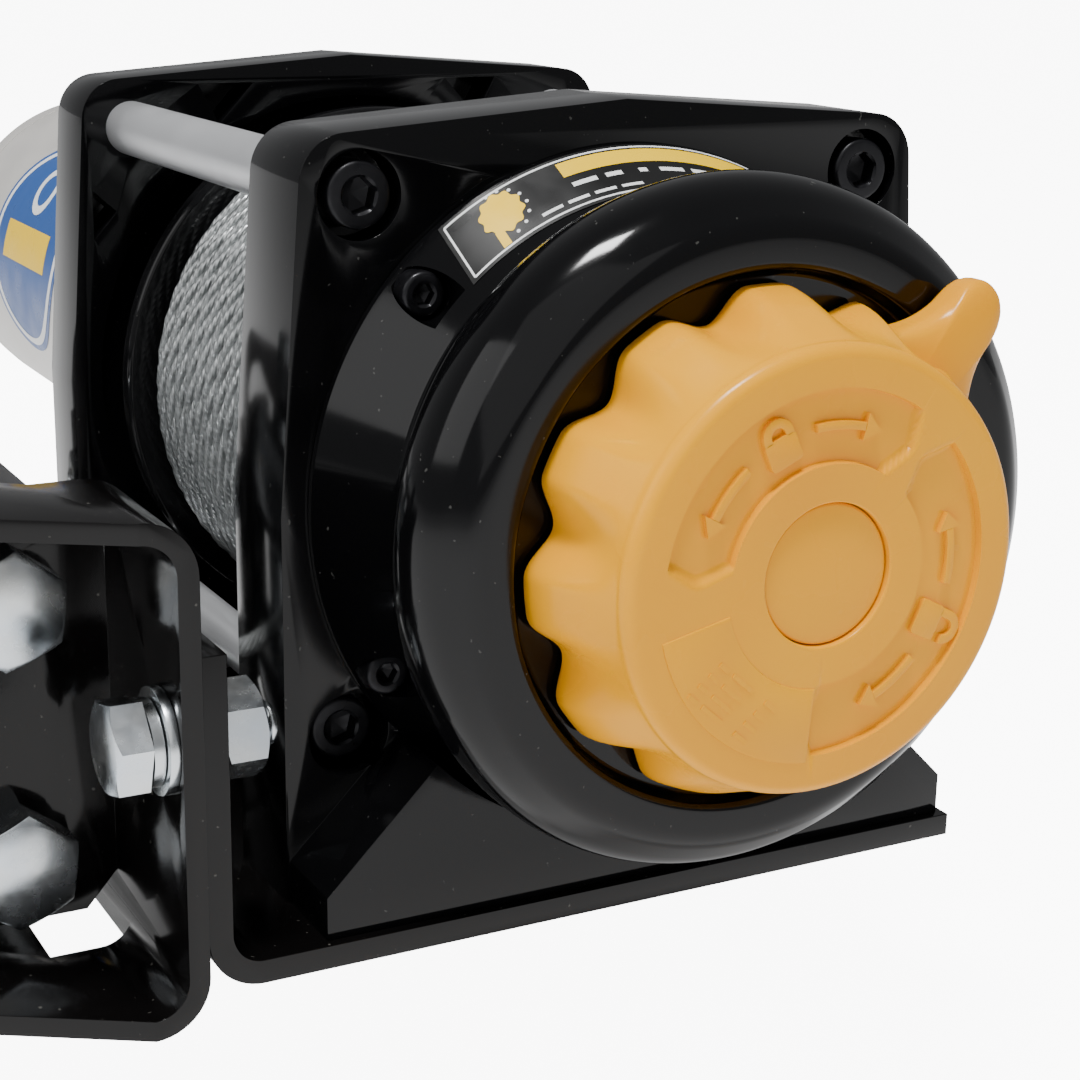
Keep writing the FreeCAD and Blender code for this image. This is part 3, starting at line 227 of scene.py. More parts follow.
def gloss_enamel(name, colour):
    """Gloss enamel sprayed on die-cast aluminium: deep black, sharp reflections, a faint orange peel."""
    made, tree, shader = new_material(name, colour, Roughness=0.14, IOR=1.5, Specular_IOR_Level=0.25)
    tree.links.new(remap(tree, grain(tree, 9 * MM, 4), 0.07, 0.14), shader.inputs["Roughness"])
    # dust and fine handling marks, a tenth of a millimetre across, drawn a little coarser to show
    specks = remap(tree, grain(tree, 0.5 * MM, 1), 0.0, 1.0, 0.76, 0.80)
    tree.links.new(blend_colours(tree, specks, colour, "#3A3A38"), shader.inputs["Base Color"])
    bump(tree, shader, grain(tree, 2.4 * MM, 1), 0.006 * MM, 0.5)
    return made


def powder_coat(name, colour):
    """Gloss powder coat baked on bent sheet steel: thick at edges, with a rippled skin."""
    made, tree, shader = new_material(name, colour, Roughness=0.16, IOR=1.5, Specular_IOR_Level=0.25)
    tree.links.new(remap(tree, grain(tree, 14 * MM, 3), 0.09, 0.17), shader.inputs["Roughness"])
    specks = remap(tree, grain(tree, 0.6 * MM, 1), 0.0, 1.0, 0.75, 0.80)
    tree.links.new(blend_colours(tree, specks, colour, "#454440"), shader.inputs["Base Color"])
    bump(tree, shader, grain(tree, 1.8 * MM, 1), 0.010 * MM, 0.5)
    return made


def zinc_plate(name, colour):
    """Bright zinc plate on cold-headed steel: cool white metal with fine drawing marks and a blue bloom."""
    made, tree, shader = new_material(name, colour, Metallic=1.0, Roughness=0.25)
    tree.links.new(remap(tree, grain(tree, 1.6 * MM, 4), 0.20, 0.30), shader.inputs["Roughness"])
    tree.links.new(blend_colours(tree, remap(tree, grain(tree, 5 * MM, 3), 0, 1), colour, "#D9DAD7"),
                   shader.inputs["Base Color"])
    bump(tree, shader, grain(tree, 0.5 * MM, 3), 0.008 * MM, 0.3)
    return made


def black_oxide(name):
    """Black oxide on alloy steel screws: oily dark grey with a soft sheen."""
    made, tree, shader = new_material(name, "#17171A", Metallic=0.6, Roughness=0.34)
    tree.links.new(remap(tree, grain(tree, 0.8 * MM, 4), 0.26, 0.48), shader.inputs["Roughness"])
    bump(tree, shader, grain(tree, 0.3 * MM, 2), 0.01 * MM, 0.4)
    return made


def moulded_plastic(name, colour, shade):
    """Injection moulded polypropylene: warm, slightly see-through yellow with a polished skin."""
    made, tree, shader = new_material(name, colour, Roughness=0.24, IOR=1.49, Specular_IOR_Level=0.22,
                                      Subsurface_Weight=0.05, Subsurface_Scale=2 * MM)
    shader.inputs["Subsurface Radius"].default_value = (1.0, 0.5, 0.1)
    tree.links.new(blend_colours(tree, remap(tree, grain(tree, 22 * MM, 2), 0, 1), colour, shade),
                   shader.inputs["Base Color"])
    tree.links.new(remap(tree, grain(tree, 6 * MM, 3), 0.20, 0.31), shader.inputs["Roughness"])
    bump(tree, shader, grain(tree, 3 * MM, 2), 0.012 * MM, 0.5)
    return made


def galvanised_wire(name, colour):
    """Galvanised steel wires in a strand: dull zinc, drawn here as six wires to a strand."""
    made, tree, shader = new_material(name, colour, Metallic=0.85, Roughness=0.4)
    place = add_node(tree, "ShaderNodeUVMap").outputs["UV"]
    # six wires round a strand, each making one turn in about eight millimetres of its length
    turns = add_node(tree, "ShaderNodeVectorMath", {"operation": "DOT_PRODUCT", 1: (120, 1, 0)}, {0: place})
    phase = add_node(tree, "ShaderNodeMath", {"operation": "MULTIPLY", 1: 6 * math.tau},
                     {0: turns.outputs["Value"]}).outputs[0]
    wires = add_node(tree, "ShaderNodeMath", {"operation": "SINE"}, {0: phase}).outputs[0]
    dull = remap(tree, grain(tree, 1.1 * MM, 3), 0, 1)
    tree.links.new(blend_colours(tree, dull, "#A8ABAB", colour), shader.inputs["Base Color"])
    tree.links.new(remap(tree, grain(tree, 2 * MM, 2), 0.30, 0.52), shader.inputs["Roughness"])
    bump(tree, shader, wires, 0.05 * MM, 0.8)
    return made


def satin_paint(name, colour, roughness=0.38, metallic=0.35):
    """Satin paint with metal flake on a drawn steel can."""
    made, tree, shader = new_material(name, colour, Metallic=metallic, Roughness=roughness)
    tree.links.new(remap(tree, grain(tree, 7 * MM, 4), roughness - 0.06, roughness + 0.08),
                   shader.inputs["Roughness"])
    bump(tree, shader, grain(tree, 0.4 * MM, 2), 0.008 * MM, 0.4)
    return made


def machined_metal(name, colour, roughness=0.3):
    """Turned or hobbed metal: fine tool marks, about a fifth of a millimetre apart, and an oil film."""
    made, tree, shader = new_material(name, colour, Metallic=1.0, Roughness=roughness)
    stretched = add_node(tree, "ShaderNodeMapping", {"Scale": (2500, 300, 300)},
                         {"Vector": object_place(tree)})
    lines = add_node(tree, "ShaderNodeTexNoise", {"Scale": 1.0, "Detail": 2.0},
                     {"Vector": stretched.outputs["Vector"]})
    tree.links.new(remap(tree, lines.outputs["Fac"], roughness - 0.08, roughness + 0.12),
                   shader.inputs["Roughness"])
    bump(tree, shader, lines.outputs["Fac"], 0.01 * MM, 0.4)
    return made


def soft_solid(name, colour, roughness=0.5):
    """Pressed or moulded solid with a fine grit: nylon, ferrite, carbon, varnish."""
    made, tree, shader = new_material(name, colour, Roughness=roughness)
    tree.links.new(remap(tree, grain(tree, 2 * MM, 3), roughness - 0.08, roughness + 0.1),
                   shader.inputs["Roughness"])
    bump(tree, shader, grain(tree, 0.4 * MM, 2), 0.02 * MM, 0.5)
    return made


def printed_film(name, colour):
    """Ink under a clear vinyl film: flat colour, low gloss, hardly any thickness."""
    made, tree, shader = new_material(name, colour, Roughness=0.3, IOR=1.45)
    tree.links.new(remap(tree, grain(tree, 4 * MM, 2), 0.24, 0.38), shader.inputs["Roughness"])
    bump(tree, shader, grain(tree, 5 * MM, 2), 0.01 * MM, 0.4)
    return made


FINISHES = {}


def finish(slot):
    """The material for one of the record's slots, or for one of the inks."""
    return FINISHES[slot]


def make_finishes():
    casting, labels, fastener = settings("casting"), settings("label"), settings("fastener")
    FINISHES.update({
        "black_enamel": gloss_enamel("gloss_enamel_on_casting", casting.enamel),
        "black_powder_coat": powder_coat("powder_coat_on_sheet", casting.powder),
        "black_oxide": black_oxide("black_oxide_screws"),
        "zinc_steel": zinc_plate("bright_zinc_plate", fastener.zinc),
        "rod_steel": satin_paint("satin_zinc_rod", "#D2D3D5", 0.34, 0.7),
        "roller_steel": machined_metal("turned_zinc_roller", "#C2C6C9", 0.28),
        "yellow_plastic": moulded_plastic("moulded_yellow_plastic", settings("knob").colour, "#E69700"),
        "gear_steel": machined_metal("hobbed_gear_steel", "#8E8F91", 0.32),
        "spring_steel": machined_metal("oiled_spring_steel", "#6F7276", 0.3),
        "drum_steel": gloss_enamel("enamel_on_drum", "#101011"),
        "wire_rope": galvanised_wire("galvanised_wire", settings("rope").colour),
        "nylon": soft_solid("moulded_nylon", "#DCD8CC", 0.45),
        "silver_paint": satin_paint("silver_paint_on_can", "#D9D6D1"),
        "magnet": soft_solid("sintered_ferrite", "#2B2B2D", 0.6),
        "laminations": soft_solid("varnished_laminations", "#5A4A38", 0.4),
        "copper": machined_metal("turned_copper", "#C98A63", 0.26),
        "carbon": soft_solid("pressed_carbon", "#1C1C1D", 0.62),
        "crimp_aluminium": machined_metal("pressed_aluminium", "#C9CACB", 0.35),
        "forged_steel": zinc_plate("zinc_on_forging", fastener.zinc),
        "sticker": printed_film("black_vinyl", "#101010"),
        "ink_yellow": printed_film("yellow_ink", labels.yellow),
        "ink_white": printed_film("white_ink", labels.white),
        "ink_blue": printed_film("blue_ink", labels.blue),
    })


# shapes

def turned(points, steps, closed=True):
    """A mesh turned about the X axis from (x, radius) points."""
    bm = bmesh.new()
    verts = [bm.verts.new((x, 0, radius)) for x, radius in points]
    pairs = list(zip(verts, verts[1:])) + ([(verts[-1], verts[0])] if closed else [])
    edges = [bm.edges.new(pair) for pair in pairs]
    bmesh.ops.spin(bm, geom=verts + edges, cent=(0, 0, 0), axis=(1, 0, 0), dvec=(0, 0, 0),
                   angle=math.tau, steps=steps, use_merge=True, use_normal_flip=False, use_duplicate=False)
    bmesh.ops.remove_doubles(bm, verts=bm.verts, dist=1e-7)
    bmesh.ops.recalc_face_normals(bm, faces=bm.faces)
    return bm


def rounded(corners, arc_steps=6, closed=False):
    """Flat points of a line whose corners (a, b, radius) are rounded off."""
    points = []
    count = len(corners)
    for i, (a, b, radius) in enumerate(corners):
        here = Vector((a, b))
        if radius == 0 or (not closed and i in (0, count - 1)):
            points.append(tuple(here))
            continue
        before, after = Vector(corners[i - 1][:2]), Vector(corners[(i + 1) % count][:2])
        into, out = (here - before).normalized(), (after - here).normalized()
        turn = into.angle(out)
        back = radius * math.tan(turn / 2)
        centre = here + (out - into).normalized() * radius / math.cos(turn / 2)
        first, last = here - into * back - centre, here + out * back - centre
        for step in range(arc_steps + 1):
            share = step / arc_steps
            spread = math.sin(turn)
            arm = (first * math.sin((1 - share) * turn) + last * math.sin(share * turn)) / spread
            points.append(tuple(centre + arm))
    return points


def stamp(target, source, matrix=Matrix.Identity(4)):
    """Moves one bmesh into another through a matrix."""
    mesh = bpy.data.meshes.new("stamp")
    source.to_mesh(mesh)
    source.free()
    mesh.transform(matrix)
    if matrix.is_negative:
        mesh.flip_normals()
    target.from_mesh(mesh)
    bpy.data.meshes.remove(mesh)


def along(direction, place, turn=0.0):
    """A matrix that takes local +Z to a direction and the local origin to a place."""
    axis = Vector(direction).normalized()
    facing = axis.to_track_quat("Z", "Y").to_matrix().to_4x4()
    return Matrix.Translation(place) @ facing @ Matrix.Rotation(turn, 4, "Z")


def piece(name, bm, slot, body, nodes=(), crease=32):
    """Turns a bmesh into a finished piece that rides on a body and may replace CAD nodes."""
    mesh = bpy.data.meshes.new(name)
    bm.to_mesh(mesh)
    bm.free()
    return mesh_piece(name, mesh, slot, body, nodes, crease)


def mesh_piece(name, mesh, slot, body, nodes=(), crease=32):
    mesh.shade_smooth()
    mesh.set_sharp_from_angle(angle=math.radians(crease))
    made = bpy.data.objects.new(name, mesh)
    bpy.context.scene.collection.objects.link(made)
    mesh.materials.clear()
    mesh.materials.append(finish(slot))
    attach(made, body)
    if nodes:
        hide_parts(*nodes)
    return made


SLOT_OF = {part["node"]: part["material_slot"] for part in frame["record"]["subparts"]}
BODY_OF = {node: body for body, nodes in frame["record"]["behaviour"]["bodies"].items() for node in nodes}


def softened(node, width, segments=3, turn=26):
    """A copy of a CAD node with its sharp edges rounded off."""
    bm = bmesh.new()
    bm.from_mesh(frame["nodes"][node].data)
    bmesh.ops.remove_doubles(bm, verts=bm.verts, dist=2e-6)
    bmesh.ops.dissolve_limit(bm, angle_limit=math.radians(0.8), use_dissolve_boundaries=False,
                             verts=bm.verts, edges=bm.edges)
    sharp = [e for e in bm.edges if len(e.link_faces) == 2 and e.calc_face_angle() > math.radians(turn)]
    bmesh.ops.bevel(bm, geom=sharp, offset=width, offset_type="OFFSET", affect="EDGES", segments=segments,
                    profile=0.5, material=-1, clamp_overlap=True, miter_outer="ARC")
    return piece(node + "_finished", bm, SLOT_OF[node], BODY_OF[node], [node])


def carved(bm, cutter):
    """The first bmesh with the second cut out of it."""
    objects = []
    for name, source in (("blank", bm), ("cutter", cutter)):
        mesh = bpy.data.meshes.new(name)
        source.to_mesh(mesh)
        source.free()
        made = bpy.data.objects.new(name, mesh)
        bpy.context.scene.collection.objects.link(made)
        objects.append(made)
    blank, tool = objects
    cut = blank.modifiers.new("cut", "BOOLEAN")
    cut.operation, cut.solver, cut.object = "DIFFERENCE", "EXACT", tool
    mesh = bpy.data.meshes.new_from_object(blank.evaluated_get(bpy.context.evaluated_depsgraph_get()))
    result = bmesh.new()
    result.from_mesh(mesh)
    bpy.data.meshes.remove(mesh)
    for made in objects:
        bpy.data.objects.remove(made)
    return result


def prism(outline, low, high, edge=0.0):
    """A flat outline of (a, b) points pushed from low to high along local Z."""
    bm = bmesh.new()
    face = bm.faces.new([bm.verts.new((a, b, low)) for a, b in outline])
    pushed = bmesh.ops.extrude_face_region(bm, geom=[face])
    moved = [item for item in pushed["geom"] if isinstance(item, bmesh.types.BMVert)]
    bmesh.ops.translate(bm, verts=moved, vec=(0, 0, high - low))
    bmesh.ops.recalc_face_normals(bm, faces=bm.faces)
    if edge:
        top = [e for e in bm.edges if all(abs(v.co.z - high) < 1e-9 for v in e.verts)]
        bmesh.ops.bevel(bm, geom=top, offset=edge, offset_type="OFFSET", affect="EDGES", segments=2,
                        profile=0.5, material=-1)
    return bm


def ring_sector(inner, outer, start, end, steps=24):
    """The outline of a ring's sector."""
    points = []
    for radius, first, last in ((inner, start, end), (outer, end, start)):
        for i in range(steps + 1):
            angle = first + (last - first) * i / steps
            points.append((radius * math.cos(angle), radius * math.sin(angle)))
    return points


FACE_UP = Matrix(((0, 0, 1, 0), (1, 0, 0, 0), (0, 1, 0, 0), (0, 0, 0, 1)))


def on_face(bm, x):
    """Turns a flat shape in local X and Y into one facing +X about the drum axis."""
    bmesh.ops.transform(bm, matrix=Matrix.Translation(AXIS + Vector((x, 0, 0))) @ FACE_UP, verts=bm.verts)
    return bm


# knob

def pointer_radius(lean, reach, half=4.5 * MM, root=34 * MM, flare=4.5 * MM):
    """How far the pointer reaches at an angle from its own middle line."""
    middle = reach - half
    radius = reach
    while radius > root:
        ahead, aside = radius * math.cos(lean), abs(radius * math.sin(lean))
        if ahead > middle:
            width = math.sqrt(max(0.0, half ** 2 - (ahead - middle) ** 2))
        else:
            width = half + flare * ((middle - ahead) / (middle - root)) ** 2
        if aside <= width:
            return radius
        radius -= 0.05 * MM
    return 0.0


FACE_RADIUS = 32.0 * MM
FACE_EDGE = 2.0 * MM
POINTER_BACK = 3.2 * MM
POINTER_FRONT = 10.4 * MM
FINE_ARC = math.radians(44)


FIELDS = ((55, 173), (-95, 42))
FIELD_INNER = 15.8 * MM
FIELD_OUTER = 26.0 * MM
FIELD_DEEP = 1.1 * MM


def in_field(angle, radius, start, end):
    """1 on the floor of an arc field and 0 outside it. The field's ends are arrow-shaped."""
    middle, half = math.radians((start + end) / 2), math.radians((end - start) / 2)
    aside = abs((angle - middle + math.pi) % math.tau - math.pi)
    point = 2.4 * MM * (1 - abs(radius - (FIELD_INNER + FIELD_OUTER) / 2) / (FIELD_OUTER - FIELD_INNER) * 2)
    room = (half - aside) * radius + point - 1.2 * MM
    return min(1.0, max(0.0, room / (0.8 * MM) + 0.5))


def knob_shell(k, back, face):
    """Bell-shaped knob with finger flutes, a pointer and a pocket for its cap."""
    cap_hole = 10.25 * MM
    flats = [FIELD_INNER + 0.08 * MM + (FIELD_OUTER - FIELD_INNER - 0.16 * MM) * i / 10 for i in range(11)]
    rings = [FIELD_INNER - 0.08 * MM, *flats, FIELD_OUTER + 0.08 * MM]
    rim = rounded([(face - 3 * MM, 0, 0), (face - 3 * MM, cap_hole, 0), (face, cap_hole, 0.4 * MM),
                   *((face, radius, 0) for radius in rings), (face, FACE_RADIUS, FACE_EDGE),
                   (face - FACE_EDGE - 0.1 * MM, FACE_RADIUS + 0.05 * MM, 0)])
    side_steps = 40
    side_start = face - FACE_EDGE - 0.1 * MM
    side_end = back + 0.5 * MM
    side = [(side_start + (side_end - side_start) * i / side_steps, FACE_RADIUS)
            for i in range(1, side_steps + 1)]
    lip = [(back, FACE_RADIUS - 0.5 * MM), (back, FACE_RADIUS - 2.2 * MM), (face - 5.2 * MM, 27 * MM),
           (face - 4.2 * MM, 24 * MM), (face - 4.2 * MM, 0)]
    bm = bmesh.new()
    start = k.pointer_angle - FINE_ARC / 2
    verts = [bm.verts.new((x, r * math.cos(start), r * math.sin(start))) for x, r in rim + side + lip]
    edges = [bm.edges.new(pair) for pair in zip(verts, verts[1:])]
    geom = verts + edges
    for angle, steps in ((FINE_ARC, 150), (math.tau - FINE_ARC, 300)):
        spun = bmesh.ops.spin(bm, geom=geom, cent=(0, 0, 0), axis=(1, 0, 0), dvec=(0, 0, 0), angle=angle,
                              steps=steps, use_merge=False, use_normal_flip=False, use_duplicate=False)
        geom = spun["geom_last"]
    bmesh.ops.remove_doubles(bm, verts=bm.verts, dist=3e-6)
    bmesh.ops.recalc_face_normals(bm, faces=bm.faces)
    valleys = [k.first_flute + k.flute_pitch * i for i in range(k.flutes - 1)]
    valleys += [k.pointer_angle + math.radians(side) for side in (9.5, -12.5)]
    half_width = math.radians(11.5)
    inside = FACE_RADIUS - 1 * MM
    reaches = {}
    for vert in bm.verts:
        x, y, z = vert.co
        radius = math.hypot(y, z)
        angle = math.atan2(z, y)
        if x > face - 1e-6 and FIELD_INNER < radius < FIELD_OUTER:
            vert.co.x -= FIELD_DEEP * max(in_field(angle, radius, *ends) for ends in FIELDS)
        if radius < inside or x > side_start:
            continue
        share = (side_start - x) / (side_start - back)
        lobe = FACE_RADIUS + (k.skirt_radius - FACE_RADIUS) * math.sin(share * math.pi / 2) ** 1.15
        valley = FACE_RADIUS + (k.valley_radius - FACE_RADIUS) * share
        near = min(abs((angle - v + math.pi) % math.tau - math.pi) for v in valleys) / half_width
        depth = (1 + math.cos(math.pi * near)) / 2 if near < 1 else 0.0
        wanted = lobe + (valley - lobe) * depth
        lean = (angle - k.pointer_angle + math.pi) % math.tau - math.pi
        if abs(lean) < FINE_ARC / 2:
            key = round(lean, 5)
            if key not in reaches:
                reaches[key] = pointer_radius(lean, k.pointer_reach)
            middle = (POINTER_BACK + POINTER_FRONT) / 2
            off = (x - back - middle) / (POINTER_FRONT - POINTER_BACK) * 2
            body = max(0.0, 1 - abs(off) ** (2.6 if off > 0 else 7)) ** 0.5 if abs(off) < 1 else 0.0
            wanted = max(wanted, wanted + (reaches[key] - wanted) * body)
        factor = (wanted - FACE_RADIUS + radius) / radius
        vert.co = (x, y * factor, z * factor)
    bmesh.ops.recalc_face_normals(bm, faces=bm.faces)
    return bm


def padlock(opened):
    """Outlines of a padlock's body and shackle, upright in local X and Y."""
    half, tall, bar, arc = 2.1 * MM, 3.4 * MM, 0.55 * MM, 1.45 * MM
    body = rounded([(-half, -tall, 0.5 * MM), (half, -tall, 0.5 * MM), (half, 0, 0.5 * MM),
                    (-half, 0, 0.5 * MM)], 3, True)
    leg = 1.1 * MM if opened else 0.2 * MM
    shackle = []
    for radius, order in ((arc + bar, range(13)), (arc - bar, range(12, -1, -1))):
        row = [(radius * math.cos(math.pi * i / 12), leg + radius * math.sin(math.pi * i / 12))
               for i in order]
        foot_right, foot_left = (radius, leg if opened else -0.3 * MM), (-radius, -0.3 * MM)
        shackle += [foot_right] + row + [foot_left] if radius > arc else [foot_left] + row + [foot_right]
    return body, shackle


def knob_marks(face):
    """Raised signs in the sunk fields: a closed and an open padlock between arc bars, and a ruled panel."""
    marks = bmesh.new()
    floor, top = -FIELD_DEEP - 0.05 * MM, -0.25 * MM
    middle = (FIELD_INNER + FIELD_OUTER) / 2
    for (start, end), opened in zip(FIELDS, (False, True)):
        centre = math.radians((start + end) / 2)
        for outline in padlock(opened):
            sign = prism(outline, floor, top, 0.12 * MM)
            scale = Matrix.Scale(1.25, 4)
            turn = Matrix.Rotation(centre - math.pi / 2, 4, "Z")
            stamp(marks, sign, turn @ Matrix.Translation((0, middle + 1 * MM, 0)) @ scale)
        for side in (-1, 1):
            first, last = sorted((centre + side * math.radians(16), centre + side * math.radians(38)))
            bar = prism(ring_sector(middle - 0.6 * MM, middle + 0.6 * MM, first, last, 16), floor, top,
                        0.12 * MM)
            stamp(marks, bar)
            tip = centre + side * math.radians(45)
            base = centre + side * math.radians(38)
            arrow = [((middle + off) * math.cos(a), (middle + off) * math.sin(a))
                     for off, a in ((-1.9 * MM, base), (1.9 * MM, base), (0, tip))]
            head = prism(arrow if side > 0 else arrow[::-1], floor, top)
            stamp(marks, head)
    panel = prism(ring_sector(16.2 * MM, 27 * MM, math.radians(193), math.radians(265)), -0.3 * MM,
                  0.22 * MM, 0.2 * MM)
    stamp(marks, panel)
    across = math.radians(229)
    for row in range(4):
        for column, length in enumerate((3.2 * MM, 5.4 * MM, 2.4 * MM)):
            place = Matrix.Rotation(across - math.pi / 2, 4, "Z") @ Matrix.Translation(
                (-6.2 * MM + column * 5.3 * MM + row * 0.4 * MM, 18.6 * MM + row * 2 * MM, 0))
            dash = prism([(0, 0), (length * 0.8, 0), (length * 0.8, 0.7 * MM), (0, 0.7 * MM)], 0, 0.38 * MM)
            stamp(marks, dash, place)
    return on_face(marks, face)


class WINCH_OT_knob(bpy.types.Operator):
    """Moulded free-spool knob with its signs and centre cap"""
    bl_idname = "winch.knob"
    bl_label = "Clutch knob"

    def execute(self, context):
        back, front = span("clutch_knob", 0)
        face = front - 0.4 * MM
        shell = knob_shell(settings("knob"), back, face)
        bmesh.ops.translate(shell, verts=shell.verts, vec=AXIS)
        piece("knob_shell", shell, "yellow_plastic", "knob", ["clutch_knob"], 40)
        piece("knob_signs", knob_marks(face), "yellow_plastic", "knob")
        low, high = span("knob_cap", 0)
        radius = (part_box("knob_cap")[1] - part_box("knob_cap")[0]).y / 2
        top = high - 0.2 * MM
        cap = turned(rounded([(low - 0.3 * MM, 0, 0), (low - 0.3 * MM, radius, 0),
                              (top - 0.3 * MM, radius, 0.5 * MM), (top, 0, 0)]), 120, closed=False)
        bmesh.ops.translate(cap, verts=cap.verts, vec=AXIS)
        piece("knob_cap_disc", cap, "yellow_plastic", "knob", ["knob_cap"])
        return {"FINISHED"}


# castings and sheet parts

HOUSING_PROFILE = (
    # x past the housing's back face, radius and corner radius, in millimetres
    (0, 41.8, 0), (0, 52.8, 0.3), (1.4, 52.8, 0.5), (14.3, 45.2, 3), (17.0, 45.2, 4), (27.0, 51.9, 11),
    (35.1, 51.9, 10), (41.4, 45.4, 5), (41.4, 39.6, 1.3), (38.1, 38.7, 1.0), (38.1, 14, 1.2),
    (47.5, 14, 0.8), (47.5, 6.1, 0), (35, 6.1, 0), (35, 41.8, 0),
)


def screw_places(node):
    """The lowest and highest corners of each separate solid of a node, sorted by place."""
    bm = bmesh.new()
    bm.from_mesh(frame["nodes"][node].data)
    bmesh.ops.remove_doubles(bm, verts=bm.verts, dist=2e-6)
    left, found = set(bm.verts), []
    while left:
        island, queue = set(), [left.pop()]
        while queue:
            vert = queue.pop()
            island.add(vert)
            for edge in vert.link_edges:
                other = edge.other_vert(vert)
                if other in left:
                    left.remove(other)
                    queue.append(other)
        low = Vector(min(v.co[i] for v in island) for i in range(3))
        high = Vector(max(v.co[i] for v in island) for i in range(3))
        found.append((low, high))
    bm.free()
    return sorted(found, key=lambda corners: tuple(round(c, 5) for c in corners[0]))


def gear_housing_blank():
    back = span("gear_housing", 0)[0]
    corners = [(back + x * MM, r * MM, fillet * MM) for x, r, fillet in HOUSING_PROFILE]
    return turned(rounded(corners, 8), settings("casting").turn_steps)


class WINCH_OT_castings(bpy.types.Operator):
    """End plates, gear housing, mounting plate and fairlead frame with rounded edges"""
    bl_idname = "winch.castings"
    bl_label = "Castings and sheet parts"

    def execute(self, context):
        look = settings("casting")
        softened("gearbox_end_plate", look.edge_radius)
        softened("motor_end_plate", look.edge_radius)
        softened("mounting_plate", look.sheet_edge)
        softened("fairlead_frame", look.sheet_edge)
        pockets = bmesh.new()
        for low, high in screw_places("housing_screws"):
            centre = (low + high) / 2 - AXIS
            drill = turned([(0, 0), (0, 3.8 * MM), (9 * MM, 4.1 * MM), (9 * MM, 0)], 40, closed=False)
            stamp(pockets, drill, Matrix.Translation((high.x - 3.6 * MM, centre.y, centre.z)))
        housing = carved(gear_housing_blank(), pockets)
        bmesh.ops.translate(housing, verts=housing.verts, vec=AXIS)
        piece("gear_housing_shell", housing, "black_enamel", BODY_OF["gear_housing"], ["gear_housing"], 38)
        return {"FINISHED"}


# fasteners

M8_FLATS, M8_HEAD = 13 * MM, 5.3 * MM
M10_FLATS, M10_HEAD = 16 * MM, 6.4 * MM


def stood_up(bm):
    """Turns a shape made about the X axis so that it stands along local +Z."""
    bmesh.ops.rotate(bm, verts=bm.verts, cent=(0, 0, 0), matrix=Matrix.Rotation(-math.pi / 2, 3, "Y"))
    return bm


def hex_radius(angle, across):
    """Distance from a hexagon's centre to its side at an angle."""
    return across / 2 / math.cos((angle + math.pi / 6) % (math.pi / 3) - math.pi / 6)


def hex_blank(across, height, bore=0.0, both=False):
    """A hexagon with its corners chamfered to a circle at the top, or at both ends, along local +Z."""
    flat = across / 2 * 0.96
    rows = [(0, bore), (0, flat), (0, across / 2), (height, across / 2), (height, flat), (height, bore)]
    bm = turned(rows, settings("fastener").steps, closed=bool(bore))
    slope = math.tan(math.radians(28))
    for vert in bm.verts:
        radius = math.hypot(vert.co.y, vert.co.z)
        if abs(radius - across / 2) > 1e-7:
            continue
        wanted = hex_radius(math.atan2(vert.co.z, vert.co.y), across)
        drop = (wanted - flat) * slope
        top = vert.co.x > height / 2
        x = height - drop if top else (drop if both else 0.0)
        vert.co = (x, vert.co.y * wanted / radius, vert.co.z * wanted / radius)
    return stood_up(bm)


def threaded_rod(radius, length, pitch):
    """A rod along local +Z with a cut thread and a bevelled end."""
    rows = int(length / pitch * 6)
    points = [(length * i / rows, radius) for i in range(rows + 1)]
    points = [(0, 0)] + points + [(length + 0.4 * MM, radius - 1 * MM), (length + 0.4 * MM, 0)]
    bm = turned(points, 36, closed=False)
    for vert in bm.verts:
        reach = math.hypot(vert.co.y, vert.co.z)
        if abs(reach - radius) > 1e-7:
            continue
        phase = (vert.co.x / pitch + math.atan2(vert.co.z, vert.co.y) / math.tau) % 1
        depth = 0.61 * pitch * (1 - abs(2 * phase - 1))
        if vert.co.x > length - 0.6 * MM:
            depth = max(depth, 0.6 * pitch)
        factor = (radius - depth) / radius
        vert.co = (vert.co.x, vert.co.y * factor, vert.co.z * factor)
    return stood_up(bm)


def plain_rod(radius, length, edge=0.3 * MM):
    """A rod along local +Z with a rounded end."""
    corners = [(0, 0, 0), (0, radius, 0), (length, radius, edge), (length, 0, 0)]
    return stood_up(turned(rounded(corners, 3), 48, closed=False))


def washer(inner, outer, thick, edge=0.2 * MM):
    """A flat ring along local +Z with rounded outer edges."""
    corners = [(0, inner, 0), (0, outer, edge), (thick, outer, edge), (thick, inner, 0)]
    return stood_up(turned(rounded(corners, 2, True), 72))


def spring_washer(inner, outer, thick, rise):
    """A split ring whose ends stand apart, along local +Z."""
    bm = bmesh.new()
    gap = math.radians(14)
    corners = [(inner, 0), (outer, 0), (outer, thick - rise), (inner, thick - rise)]
    face = bm.faces.new([bm.verts.new((r, 0, z)) for r, z in corners])
    geom = [face] + list(face.verts) + list(face.edges)
    bmesh.ops.spin(bm, geom=geom, cent=(0, 0, 0), axis=(0, 0, 1), dvec=(0, 0, rise / 60),
                   angle=math.tau - gap, steps=60, use_merge=False, use_normal_flip=False,
                   use_duplicate=False)
    bmesh.ops.recalc_face_normals(bm, faces=bm.faces)
    return bm


